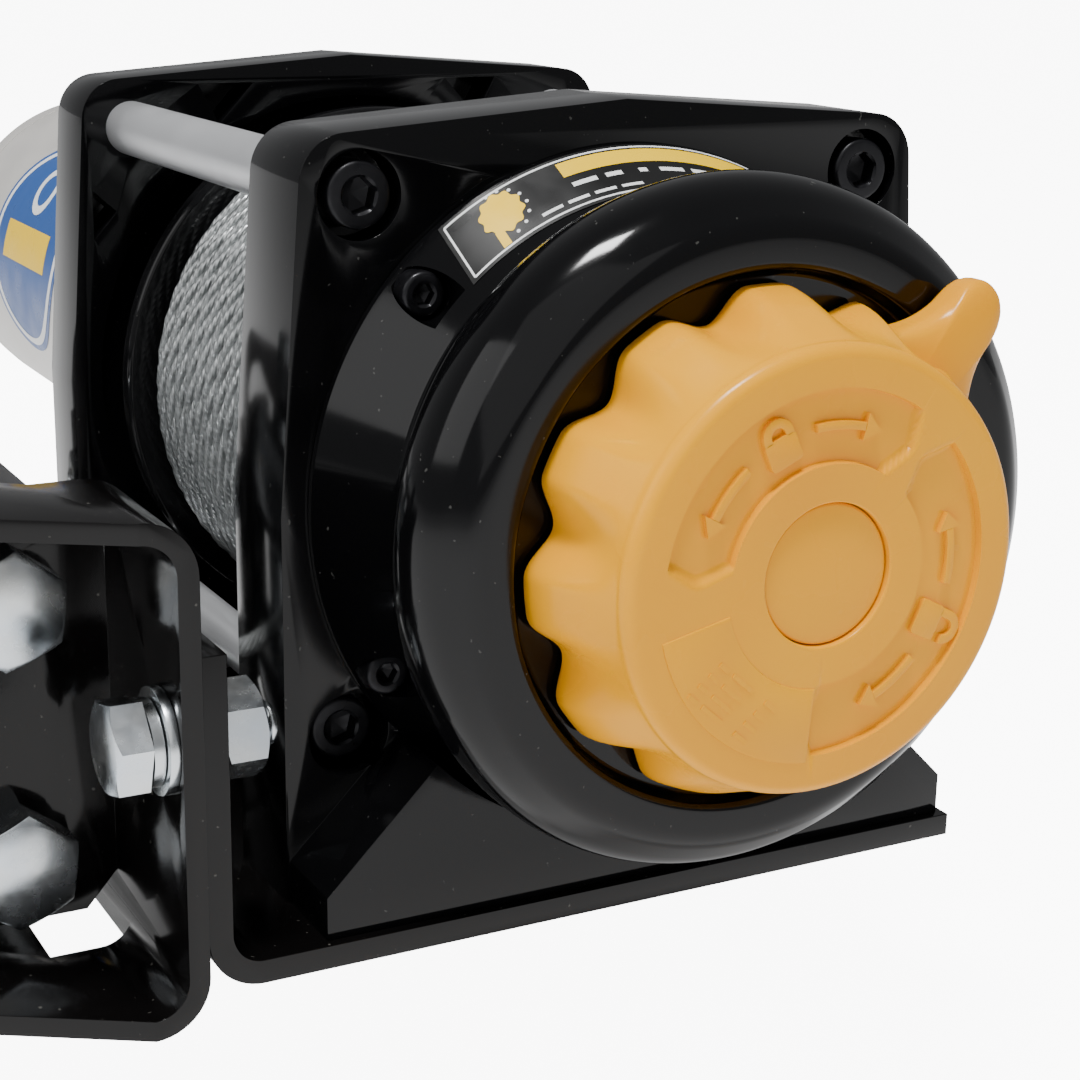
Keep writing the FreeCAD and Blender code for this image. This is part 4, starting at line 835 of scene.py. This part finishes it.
def socket_head(radius, height, across, deep):
    """A cylinder head with a hexagon socket, along local +Z."""
    well = across / 2
    points = rounded([(0, 0, 0), (0, radius, 0), (height, radius, 0.7 * MM), (height, well + 0.45 * MM, 0),
                      (height - 0.3 * MM, well, 0), (height - deep, well, 0),
                      (height - deep - 0.8 * MM, 0, 0)], 4)
    bm = turned(points, settings("fastener").steps, closed=False)
    for vert in bm.verts:
        reach = math.hypot(vert.co.y, vert.co.z)
        if abs(reach - well) < 1e-7:
            factor = hex_radius(math.atan2(vert.co.z, vert.co.y), across) / reach
            vert.co = (vert.co.x, vert.co.y * factor, vert.co.z * factor)
    return stood_up(bm)


def group(shapes):
    """Joins (bmesh, matrix) pairs into one bmesh."""
    joined = bmesh.new()
    for shape, matrix in shapes:
        stamp(joined, shape, matrix)
    return joined


class WINCH_OT_fasteners(bpy.types.Operator):
    """Screws, bolts, washers and nuts with real heads and threads"""
    bl_idname = "winch.fasteners"
    bl_label = "Fasteners"

    def execute(self, context):
        pitch = settings("fastener").pitch
        screws = []
        for low, high in screw_places("tie_rod_screws"):
            centre = (low + high) / 2
            outward = 1 if centre.x > 0 else -1
            seat = (high.x if outward > 0 else low.x) - outward * 6 * MM
            place = Vector((seat, centre.y, centre.z))
            screws.append((socket_head(5 * MM, 6 * MM, 5 * MM, 3 * MM), along((outward, 0, 0), place, 0.3)))
            screws.append((plain_rod(3 * MM, 18 * MM), along((-outward, 0, 0), place)))
        piece("socket_screws", group(screws), "black_oxide", "frame", ["tie_rod_screws"])

        small = []
        for low, high in screw_places("housing_screws"):
            centre = (low + high) / 2
            place = Vector((high.x - 3.6 * MM, centre.y, centre.z))
            small.append((socket_head(3.4 * MM, 3.6 * MM, 3 * MM, 2 * MM), along((1, 0, 0), place)))
            small.append((plain_rod(2 * MM, high.x - 3.6 * MM - low.x), along((-1, 0, 0), place)))
        piece("housing_socket_screws", group(small), "black_oxide", "frame", ["housing_screws"])

        bolts, rings, nuts = [], [], []
        places = zip(screw_places("fairlead_bolts"), screw_places("fairlead_nuts"))
        for (low, high), (nut_low, nut_high) in places:
            centre = (low + high) / 2
            head_back = Vector((centre.x, low.y + M8_HEAD, centre.z))
            bolts.append((hex_blank(M8_FLATS, M8_HEAD), along((0, -1, 0), head_back, 0.2)))
            bolts.append((threaded_rod(4 * MM, high.y - head_back.y - 0.4 * MM, pitch),
                          along((0, 1, 0), head_back)))
            rings.append((spring_washer(4.1 * MM, 6.6 * MM, 2.1 * MM, 0.5 * MM),
                          along((0, 1, 0), head_back)))
            flat = head_back + Vector((0, 2.1 * MM, 0))
            rings.append((washer(4.2 * MM, 8 * MM, 1.6 * MM), along((0, 1, 0), flat)))
            nut_place = Vector((centre.x, nut_low.y, centre.z))
            nuts.append((hex_blank(M8_FLATS, nut_high.y - nut_low.y, 4.05 * MM, True),
                         along((0, 1, 0), nut_place, 0.35)))
        piece("fairlead_bolt_pair", group(bolts), "zinc_steel", "frame", ["fairlead_bolts"])
        piece("fairlead_washer_sets", group(rings), "zinc_steel", "frame", ["fairlead_washers"])
        piece("fairlead_nut_pair", group(nuts), "zinc_steel", "frame", ["fairlead_nuts"])

        pins, pin_nuts = [], []
        for low, high in screw_places("roller_bolts"):
            centre, size = (low + high) / 2, high - low
            way = Vector((1, 0, 0)) if size.x > size.z else Vector((0, 0, 1))
            top = Vector((high.x, centre.y, centre.z)) if way.x else Vector((centre.x, centre.y, high.z))
            seat = top - way * M10_HEAD
            reach = max(size) - M10_HEAD
            pins.append((hex_blank(M10_FLATS, M10_HEAD), along(way, seat, 0.4)))
            pins.append((plain_rod(5 * MM, reach - 12 * MM), along(-way, seat)))
            pins.append((threaded_rod(5 * MM, 11.6 * MM, 1.5 * MM),
                         along(-way, seat - way * (reach - 12 * MM))))
            pin_nuts.append((hex_blank(M10_FLATS, 8 * MM, 5.05 * MM, True),
                             along(-way, seat - way * (reach - 11 * MM), 0.25)))
        piece("roller_pin_bolts", group(pins), "zinc_steel", "frame", ["roller_bolts"])
        piece("roller_pin_nuts", group(pin_nuts), "zinc_steel", "frame", ["roller_nuts"])

        studs, stud_nuts = [], []
        places = zip(screw_places("terminal_studs"), screw_places("terminal_nuts"))
        for (low, high), (nut_low, nut_high) in places:
            centre = (low + high) / 2
            studs.append((threaded_rod(3 * MM, high.y - low.y - 0.4 * MM, 1 * MM),
                          along((0, 1, 0), Vector((centre.x, low.y, centre.z)))))
            stud_nuts.append((hex_blank(10 * MM, nut_high.y - nut_low.y, 3.1 * MM, True),
                              along((0, 1, 0), Vector((centre.x, nut_low.y, centre.z)))))
        piece("terminal_thread_studs", group(studs), "copper", "frame", ["terminal_studs"])
        piece("terminal_hex_nuts", group(stud_nuts), "zinc_steel", "frame", ["terminal_nuts"])
        softened("foot_bolts", 0.25 * MM, 2)
        return {"FINISHED"}


# rope

def transported(points):
    """Points along a line with two directions across it that turn as little as possible."""
    across = None
    rows = []
    for i, point in enumerate(points):
        ahead = (points[min(i + 1, len(points) - 1)] - points[max(i - 1, 0)]).normalized()
        if across is None:
            across = ahead.orthogonal().normalized()
        across = (across - ahead * across.dot(ahead)).normalized()
        rows.append((point, across.copy(), ahead.cross(across)))
    return rows


def strand_lines(points, rope):
    """The centre lines of a rope's strands round the rope's own centre line."""
    radius = rope.diameter / 3 * 0.98
    rows = transported(points)
    lines = []
    for strand in range(rope.strands):
        travelled, line, before = 0.0, [], points[0]
        for point, first, second in rows:
            travelled += (point - before).length
            before = point
            angle = math.tau * (strand / rope.strands + travelled / rope.lay_length)
            line.append(point + first * radius * math.cos(angle) + second * radius * math.sin(angle))
        lines.append(line)
    return lines


def strand_mesh(name, lines, radius):
    """A mesh of round strands. Its UV map runs in metres along a strand and 0 to 1 round it."""
    curve = bpy.data.curves.new(name, "CURVE")
    curve.dimensions = "3D"
    curve.bevel_depth = radius
    curve.bevel_resolution = 2
    curve.use_fill_caps = True
    for line in lines:
        spline = curve.splines.new("POLY")
        spline.points.add(len(line) - 1)
        for point, place in zip(spline.points, line):
            point.co = (*place, 1)
    holder = bpy.data.objects.new(name, curve)
    bpy.context.scene.collection.objects.link(holder)
    bpy.context.view_layer.update()
    mesh = bpy.data.meshes.new_from_object(holder.evaluated_get(bpy.context.evaluated_depsgraph_get()))
    bpy.data.objects.remove(holder)
    length = sum((b - a).length for a, b in zip(lines[0], lines[0][1:]))
    for corner in (mesh.uv_layers.active.data if mesh.uv_layers.active else ()):
        corner.uv.x *= length
    return mesh


def even_points(points, step):
    """Points a set distance apart along a line of points."""
    spaced, left = [points[0]], step
    for a, b in zip(points, points[1:]):
        run = (b - a).length
        while run >= left:
            a = a + (b - a).normalized() * left
            spaced.append(a)
            run -= left
            left = step
        left -= run
    spaced.append(points[-1])
    return spaced


ROPE_ROUTE = (
    # the taut lead from the drum over the lower roller to the eye, in metres
    (0.0, -0.02428, 0.02205), (0.0, -0.0600, 0.02350), (0.0, -0.1000, 0.02513), (0.0, -0.1387, 0.02670),
)


def route_points(route, name):
    """Points read from the smooth line whose control points are the route."""
    curve = bpy.data.curves.new(name, "CURVE")
    curve.dimensions = "3D"
    curve.resolution_u = 24
    spline = curve.splines.new("NURBS")
    spline.points.add(len(route) - 1)
    for point, place in zip(spline.points, route):
        point.co = (*place, 1)
    spline.order_u = 3
    spline.use_endpoint_u = True
    holder = bpy.data.objects.new(name, curve)
    bpy.context.scene.collection.objects.link(holder)
    mesh = bpy.data.meshes.new_from_object(holder.evaluated_get(bpy.context.evaluated_depsgraph_get()))
    points = [v.co.copy() for v in mesh.vertices]
    bpy.data.objects.remove(holder)
    bpy.data.meshes.remove(mesh)
    return points


class WINCH_OT_rope(bpy.types.Operator):
    """Wound wire rope, its taut lead and its crimped eye"""
    bl_idname = "winch.rope"
    bl_label = "Wire rope"

    def execute(self, context):
        rope = settings("rope")
        low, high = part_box("rope_winding")
        layer = (high.z - low.z) / 2 - rope.diameter / 2
        strand = rope.diameter / 6 * 1.02
        turns = int((high.x - low.x - rope.diameter) / (rope.diameter * 1.01))
        pitch = (high.x - low.x - rope.diameter) / turns
        count = int(turns * math.tau * layer / rope.step)
        helix = []
        for i in range(count + 1):
            angle = math.tau * turns * i / count
            settle = 0.25 * MM * math.sin(angle * 0.37)
            x = low.x + rope.diameter / 2 + pitch * turns * i / count
            reach = layer - abs(settle)
            helix.append(AXIS + Vector((x, reach * math.cos(angle), reach * math.sin(angle))))
        wound = strand_mesh("rope_layer", strand_lines(helix, rope), strand)
        mesh_piece("rope_layer", wound, "wire_rope", "drum", ["rope_winding"], 60)
        bed_radius = layer - rope.diameter * 0.38
        bed = turned([(low.x, bed_radius - 8 * MM), (low.x, bed_radius), (high.x, bed_radius),
                      (high.x, bed_radius - 8 * MM)], 96)
        bmesh.ops.translate(bed, verts=bed.verts, vec=AXIS)
        piece("rope_bed", bed, "spring_steel", "drum")

        route = route_points(ROPE_ROUTE, "rope_route")
        points = even_points(route, rope.step)
        lead = strand_mesh("rope_lead", strand_lines(points, rope), strand)
        taut = mesh_piece("rope_lead", lead, "wire_rope", "frame", ["rope_tail"], 60)
        touch = Vector((0, -1.80 * MM, 21.14 * MM))
        entry = even_points([touch, points[0]], rope.step)
        mesh_piece("rope_run_on", strand_mesh("rope_run_on", strand_lines(entry, rope), strand),
                   "wire_rope", "frame", crease=60)

        eye_low, eye_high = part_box("rope_eye")
        centre = Vector((0, eye_low.y + (eye_high.z - eye_low.z) / 2, (eye_low.z + eye_high.z) / 2))
        loop_radius = (eye_high.z - eye_low.z) / 2 - rope.diameter / 2 - 0.1 * MM
        loop = [centre + Vector((0, loop_radius * math.cos(a), loop_radius * math.sin(a)))
                for a in (math.tau * i / 60 for i in range(61))]
        mesh_piece("eye_loop", strand_mesh("eye_loop", strand_lines(loop, rope), strand),
                   "wire_rope", "frame", ["rope_eye"], 60)
        inner = loop_radius - rope.diameter / 2
        thimble = turned(rounded([(-3.4 * MM, inner + 2.6 * MM, 0), (-2.6 * MM, inner - 0.6 * MM, 0.8 * MM),
                                  (2.6 * MM, inner - 0.6 * MM, 0.8 * MM), (3.4 * MM, inner + 2.6 * MM, 0),
                                  (2.9 * MM, inner + 2.6 * MM, 0), (1.8 * MM, inner + 0.2 * MM, 0.6 * MM),
                                  (-1.8 * MM, inner + 0.2 * MM, 0.6 * MM),
                                  (-2.9 * MM, inner + 2.6 * MM, 0)], 4, True), 64)
        bmesh.ops.translate(thimble, verts=thimble.verts, vec=centre)
        loop_thimble = piece("eye_thimble", thimble, "zinc_steel", "frame")
        sleeve = plain_rod(4.5 * MM, 12.5 * MM, 0.8 * MM)
        bmesh.ops.transform(sleeve, matrix=along((0, -1, 0), Vector((0, eye_high.y, centre.z))),
                            verts=sleeve.verts)
        crimp = piece("eye_sleeve", sleeve, "crimp_aluminium", "frame")
        return {"FINISHED"}


class WINCH_OT_hook(bpy.types.Operator):
    """Forged clevis hook with its pin and spring latch"""
    bl_idname = "winch.hook"
    bl_label = "Hook"

    def execute(self, context):
        softened("hook", 1.9 * MM, 4)
        softened("hook_pin", 0.5 * MM, 3)
        softened("hook_latch", 0.5 * MM, 3)
        return {"FINISHED"}


# motor, rollers and the parts that keep their own mesh

class WINCH_OT_motor(bpy.types.Operator):
    """Drawn motor can, end cap and the screws that hold it"""
    bl_idname = "winch.motor"
    bl_label = "Motor"

    def execute(self, context):
        steps = settings("casting").turn_steps
        low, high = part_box("motor_can")
        radius = (high.z - low.z) / 2
        wall = 2.2 * MM
        can = turned(rounded([(low.x, radius - wall, 0), (low.x, radius, 0.4 * MM), (high.x, radius, 0),
                              (high.x, radius - wall, 0)], 4), steps)
        bmesh.ops.translate(can, verts=can.verts, vec=AXIS)
        piece("motor_can_shell", can, "silver_paint", "frame", ["motor_can"])
        end = span("motor_end_cap", 0)[0]
        cap = turned(rounded([(end + 0.8 * MM, 0, 0), (end + 0.8 * MM, 14 * MM, 1 * MM),
                              (end + 3.2 * MM, 16 * MM, 1 * MM), (end + 3.2 * MM, 33 * MM, 1 * MM),
                              (end, 34.5 * MM, 0.8 * MM),
                              (end, radius - 0.3 * MM, 1.4 * MM), (low.x - 0.3 * MM, radius, 0),
                              (low.x - 0.3 * MM, radius - 2 * MM, 0), (low.x, radius - 3 * MM, 0),
                              (low.x, 0, 0)], 6), steps, closed=False)
        bmesh.ops.translate(cap, verts=cap.verts, vec=AXIS)
        piece("motor_end_cover", cap, "silver_paint", "frame", ["motor_end_cap"])
        bolts = []
        for side in (-1, 1):
            place = AXIS + Vector((end + 3.4 * MM, side * 25 * MM, 0))
            bolts.append((hex_blank(7 * MM, 2.8 * MM), along((-1, 0, 0), place)))
        piece("motor_through_bolts", group(bolts), "zinc_steel", "frame")
        return {"FINISHED"}


class WINCH_OT_kept_parts(bpy.types.Operator):
    """Finishes for the parts that keep their own mesh, inner parts among them"""
    bl_idname = "winch.kept_parts"
    bl_label = "Kept parts"

    def execute(self, context):
        for node, made in frame["nodes"].items():
            made.data.materials.clear()
            made.data.materials.append(finish(SLOT_OF[node]))
        return {"FINISHED"}


# labels

# heights of printed ink over a label's film
INK_HEIGHT = 0.07 * MM
BORDER_HEIGHT = 0.06 * MM

CONE = ((1.4, 52.8), (14.3, 45.2))


def on_cone(bm, angle, down):
    """Wraps a flat shape round the housing's cone. Local X runs round it and local Y up its slope."""
    back = span("gear_housing", 0)[0]
    (x_low, r_low), (x_high, r_high) = CONE
    slope = Vector(((x_high - x_low), (r_high - r_low))) * MM
    length = slope.length
    normal = Vector((-slope.y, slope.x)).normalized()
    lift = settings("label").lift
    for vert in bm.verts:
        run, rise, height = vert.co
        share = (down - rise) / length
        flat = Vector((back + x_low * MM, r_low * MM)) + slope * share + normal * (lift + height)
        turn = angle - run / flat.y
        vert.co = AXIS + Vector((flat.x, flat.y * math.cos(turn), flat.y * math.sin(turn)))
    return bm


def on_can(bm, place, angle):
    """Wraps a flat shape round the motor can. Local X runs along the motor and local Y round it."""
    low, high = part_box("motor_can")
    radius = (high.z - low.z) / 2 + settings("label").lift
    for vert in bm.verts:
        run, rise, height = vert.co
        turn = angle - rise / radius
        reach = radius + height
        vert.co = AXIS + Vector((place + run, reach * math.cos(turn), reach * math.sin(turn)))
    return bm


def flat_grid(width, depth, columns, rows, centre=(0, 0), height=0.0):
    bm = bmesh.new()
    bmesh.ops.create_grid(bm, x_segments=columns, y_segments=rows, size=0.5)
    bmesh.ops.scale(bm, vec=(width, depth, 1), verts=bm.verts)
    bmesh.ops.translate(bm, verts=bm.verts, vec=(centre[0], centre[1], height))
    return bm


def flat_disc(radius, centre=(0, 0), height=0.0, hole=0.0, rings=6, scallops=0, deep=0.0):
    """A flat disc, or a ring with a hole, with enough rings to bend smoothly."""
    bm = bmesh.new()
    verts = [bm.verts.new((hole + (radius - hole) * i / rings, 0, 0)) for i in range(rings + 1)]
    edges = [bm.edges.new(pair) for pair in zip(verts, verts[1:])]
    bmesh.ops.spin(bm, geom=verts + edges, cent=(0, 0, 0), axis=(0, 0, 1), dvec=(0, 0, 0), angle=math.tau,
                   steps=96, use_merge=True, use_normal_flip=False, use_duplicate=False)
    bmesh.ops.remove_doubles(bm, verts=bm.verts, dist=1e-7)
    for vert in bm.verts if scallops else ():
        angle = math.atan2(vert.co.y, vert.co.x)
        vert.co *= 1 - deep * (1 + math.cos(scallops * angle)) / 2
    bmesh.ops.translate(bm, verts=bm.verts, vec=(centre[0], centre[1], height))
    return bm


def film(name, bm, slot):
    """A thin printed film, given a little thickness so that it is closed."""
    bmesh.ops.recalc_face_normals(bm, faces=bm.faces)
    bmesh.ops.solidify(bm, geom=bm.faces, thickness=0.05 * MM)
    bmesh.ops.recalc_face_normals(bm, faces=bm.faces)
    return piece(name, bm, slot, "frame")


class WINCH_OT_labels(bpy.types.Operator):
    """Plain generic labels: a pictogram strip on the housing and a round badge on the motor"""
    bl_idname = "winch.labels"
    bl_label = "Labels"

    def execute(self, context):
        radius = 49 * MM
        middle = math.radians(95.5)
        half_run = math.radians(35) * radius
        down = 6.1 * MM
        film("housing_label", on_cone(flat_grid(2 * half_run, 11.4 * MM, 90, 6), middle, down), "sticker")
        edge = 0.35 * MM
        border = bmesh.new()
        for sign in (-1, 1):
            for part in (flat_grid(2 * half_run - 1.6 * MM, edge, 90, 1, (0, sign * 5.0 * MM), BORDER_HEIGHT),
                         flat_grid(edge, 10 * MM, 1, 6, (sign * (half_run - 0.8 * MM), 0), BORDER_HEIGHT)):
                stamp(border, part)
        film("label_border", on_cone(border, middle, down), "ink_white")
        sign = bmesh.new()
        disc_run = -half_run + 9.5 * MM
        for part in (flat_disc(3.9 * MM, (disc_run, 0.9 * MM), INK_HEIGHT, scallops=10, deep=0.14),
                     flat_grid(1.5 * MM, 3.0 * MM, 2, 4, (disc_run - 1.9 * MM, -3.2 * MM), INK_HEIGHT)):
            stamp(sign, part)
        bar = flat_grid(2 * half_run - 23 * MM, 3.1 * MM, 80, 3, (9.4 * MM, 2.9 * MM), INK_HEIGHT)
        stamp(sign, bar)
        film("label_yellow_print", on_cone(sign, middle, down), "ink_yellow")
        dots = bmesh.new()
        for i in range(8):
            angle = math.radians(100 - 26 * i)
            dot_place = (disc_run + 4.3 * MM * math.cos(angle), 0.6 * MM + 4.3 * MM * math.sin(angle))
            dot = flat_disc(0.3 * MM, dot_place, INK_HEIGHT, rings=1)
            stamp(dots, dot)
        for i in range(9):
            dash = flat_grid((4.2 - 1.4 * (i % 3)) * MM, 0.9 * MM, 5, 1,
                             (disc_run + 14 * MM + i * 5.0 * MM, -0.6 * MM), INK_HEIGHT)
            stamp(dots, dash)
        for i in range(4):
            dash = flat_grid(3.6 * MM, 0.6 * MM, 5, 1,
                             (disc_run + 6.8 * MM + i * 4.6 * MM, -3.6 * MM), INK_HEIGHT)
            stamp(dots, dash)
        film("label_white_print", on_cone(dots, middle, down), "ink_white")

        place, angle = -150 * MM, math.radians(162)
        film("badge_disc", on_can(flat_disc(27 * MM, rings=12), place, angle), "ink_blue")
        ring = flat_disc(25.5 * MM, height=INK_HEIGHT, hole=23.8 * MM, rings=2)
        film("badge_ring", on_can(ring, place, angle), "ink_white")
        band = flat_grid(34 * MM, 9 * MM, 30, 12, (0, -2 * MM), INK_HEIGHT)
        film("badge_band", on_can(band, place, angle), "ink_yellow")
        mark = flat_disc(6.5 * MM, (0, 12 * MM), INK_HEIGHT, hole=4.2 * MM, rings=3)
        film("badge_mark", on_can(mark, place, angle), "ink_white")
        return {"FINISHED"}


# stage

def soft_light(name, place, target, size, power):
    lamp = bpy.data.lights.new(name, "AREA")
    lamp.shape = "RECTANGLE"
    lamp.size, lamp.size_y = size
    lamp.energy = power
    made = bpy.data.objects.new(name, lamp)
    bpy.context.scene.collection.objects.link(made)
    made.location = place
    made.rotation_euler = (Vector(target) - Vector(place)).to_track_quat("-Z", "Y").to_euler()
    return made


class WINCH_OT_stage(bpy.types.Operator):
    """Pale floor, soft studio light and the camera"""
    bl_idname = "winch.stage"
    bl_label = "Stage"

    def execute(self, context):
        stage = settings("stage")
        scene = context.scene
        low = Vector(CAD_BOX[0])
        bm = bmesh.new()
        bmesh.ops.create_grid(bm, x_segments=1, y_segments=1, size=12)
        mesh = bpy.data.meshes.new("floor")
        bm.to_mesh(mesh)
        bm.free()
        floor = bpy.data.objects.new("floor", mesh)
        floor.location.z = low.z - 0.2 * MM
        scene.collection.objects.link(floor)
        made, tree, shader = new_material("pale_floor", stage.floor_colour, Roughness=0.6)
        shader.inputs["Emission Color"].default_value = (1, 1, 1, 1)
        seen = add_node(tree, "ShaderNodeLightPath").outputs["Is Camera Ray"]
        tree.links.new(remap(tree, seen, 0.4, 9.0, 0, 1), shader.inputs["Emission Strength"])
        mesh.materials.append(made)

        world = bpy.data.worlds.new("studio")
        scene.world = world
        world.use_nodes = True
        background = world.node_tree.nodes["Background"]
        background.inputs["Color"].default_value = linear("#F2F3F5")
        background.inputs["Strength"].default_value = 0.32

        middle = AXIS + Vector((0.03, 0, 0))
        soft_light("top_softbox", (0.26, -0.2, 1.25), middle, (0.3, 0.2), 20)
        soft_light("left_panel", (0.15, -1.3, 0.8), middle, (1.2, 0.9), 7)
        soft_light("right_panel", (1.0, -0.5, 0.85), middle, (1.4, 1.4), 4)

        back = Vector((math.sin(stage.azimuth) * math.cos(stage.elevation),
                       -math.cos(stage.azimuth) * math.cos(stage.elevation), math.sin(stage.elevation)))
        right = Vector((0, 0, 1)).cross(back).normalized()
        above = back.cross(right)
        turn = Matrix.Rotation(stage.roll, 4, "Z")
        facing = Matrix((right, above, back)).transposed().to_4x4()
        lens = bpy.data.cameras.new("camera")
        lens.lens = stage.lens
        lens.shift_x, lens.shift_y = stage.shift
        lens.clip_start, lens.clip_end = 0.01, 60
        camera = bpy.data.objects.new("camera", lens)
        scene.collection.objects.link(camera)
        camera.matrix_world = Matrix.Translation(stage.eye) @ facing @ turn
        scene.camera = camera
        return {"FINISHED"}


class WINCH_PT_panel(bpy.types.Panel):
    """Lists the winch's operators and settings"""
    bl_label = "Winch"
    bl_idname = "WINCH_PT_panel"
    bl_space_type = "VIEW_3D"
    bl_region_type = "UI"
    bl_category = "Winch"

    def draw(self, context):
        for operator in OPERATORS:
            self.layout.operator(operator.bl_idname)
        for name in SETTINGS:
            group_settings = getattr(context.scene, name)
            box = self.layout.box()
            for key in group_settings.bl_rna.properties.keys():
                if key not in ("rna_type", "name"):
                    box.prop(group_settings, key)


OPERATORS = (WINCH_OT_stage, WINCH_OT_kept_parts, WINCH_OT_castings, WINCH_OT_knob, WINCH_OT_fasteners,
             WINCH_OT_rope, WINCH_OT_hook, WINCH_OT_motor, WINCH_OT_labels)
CLASSES = (*SETTINGS.values(), *OPERATORS, WINCH_PT_panel)


def register():
    for entry in CLASSES:
        bpy.utils.register_class(entry)
    for name, kind in SETTINGS.items():
        setattr(bpy.types.Scene, name, PointerProperty(type=kind))


def unregister():
    for name in SETTINGS:
        delattr(bpy.types.Scene, name)
    for entry in reversed(CLASSES):
        bpy.utils.unregister_class(entry)


def main():
    register()
    make_finishes()
    for operator in OPERATORS:
        getattr(bpy.ops.winch, operator.bl_idname.split(".")[1])()


if __name__ == "__main__":
    main()
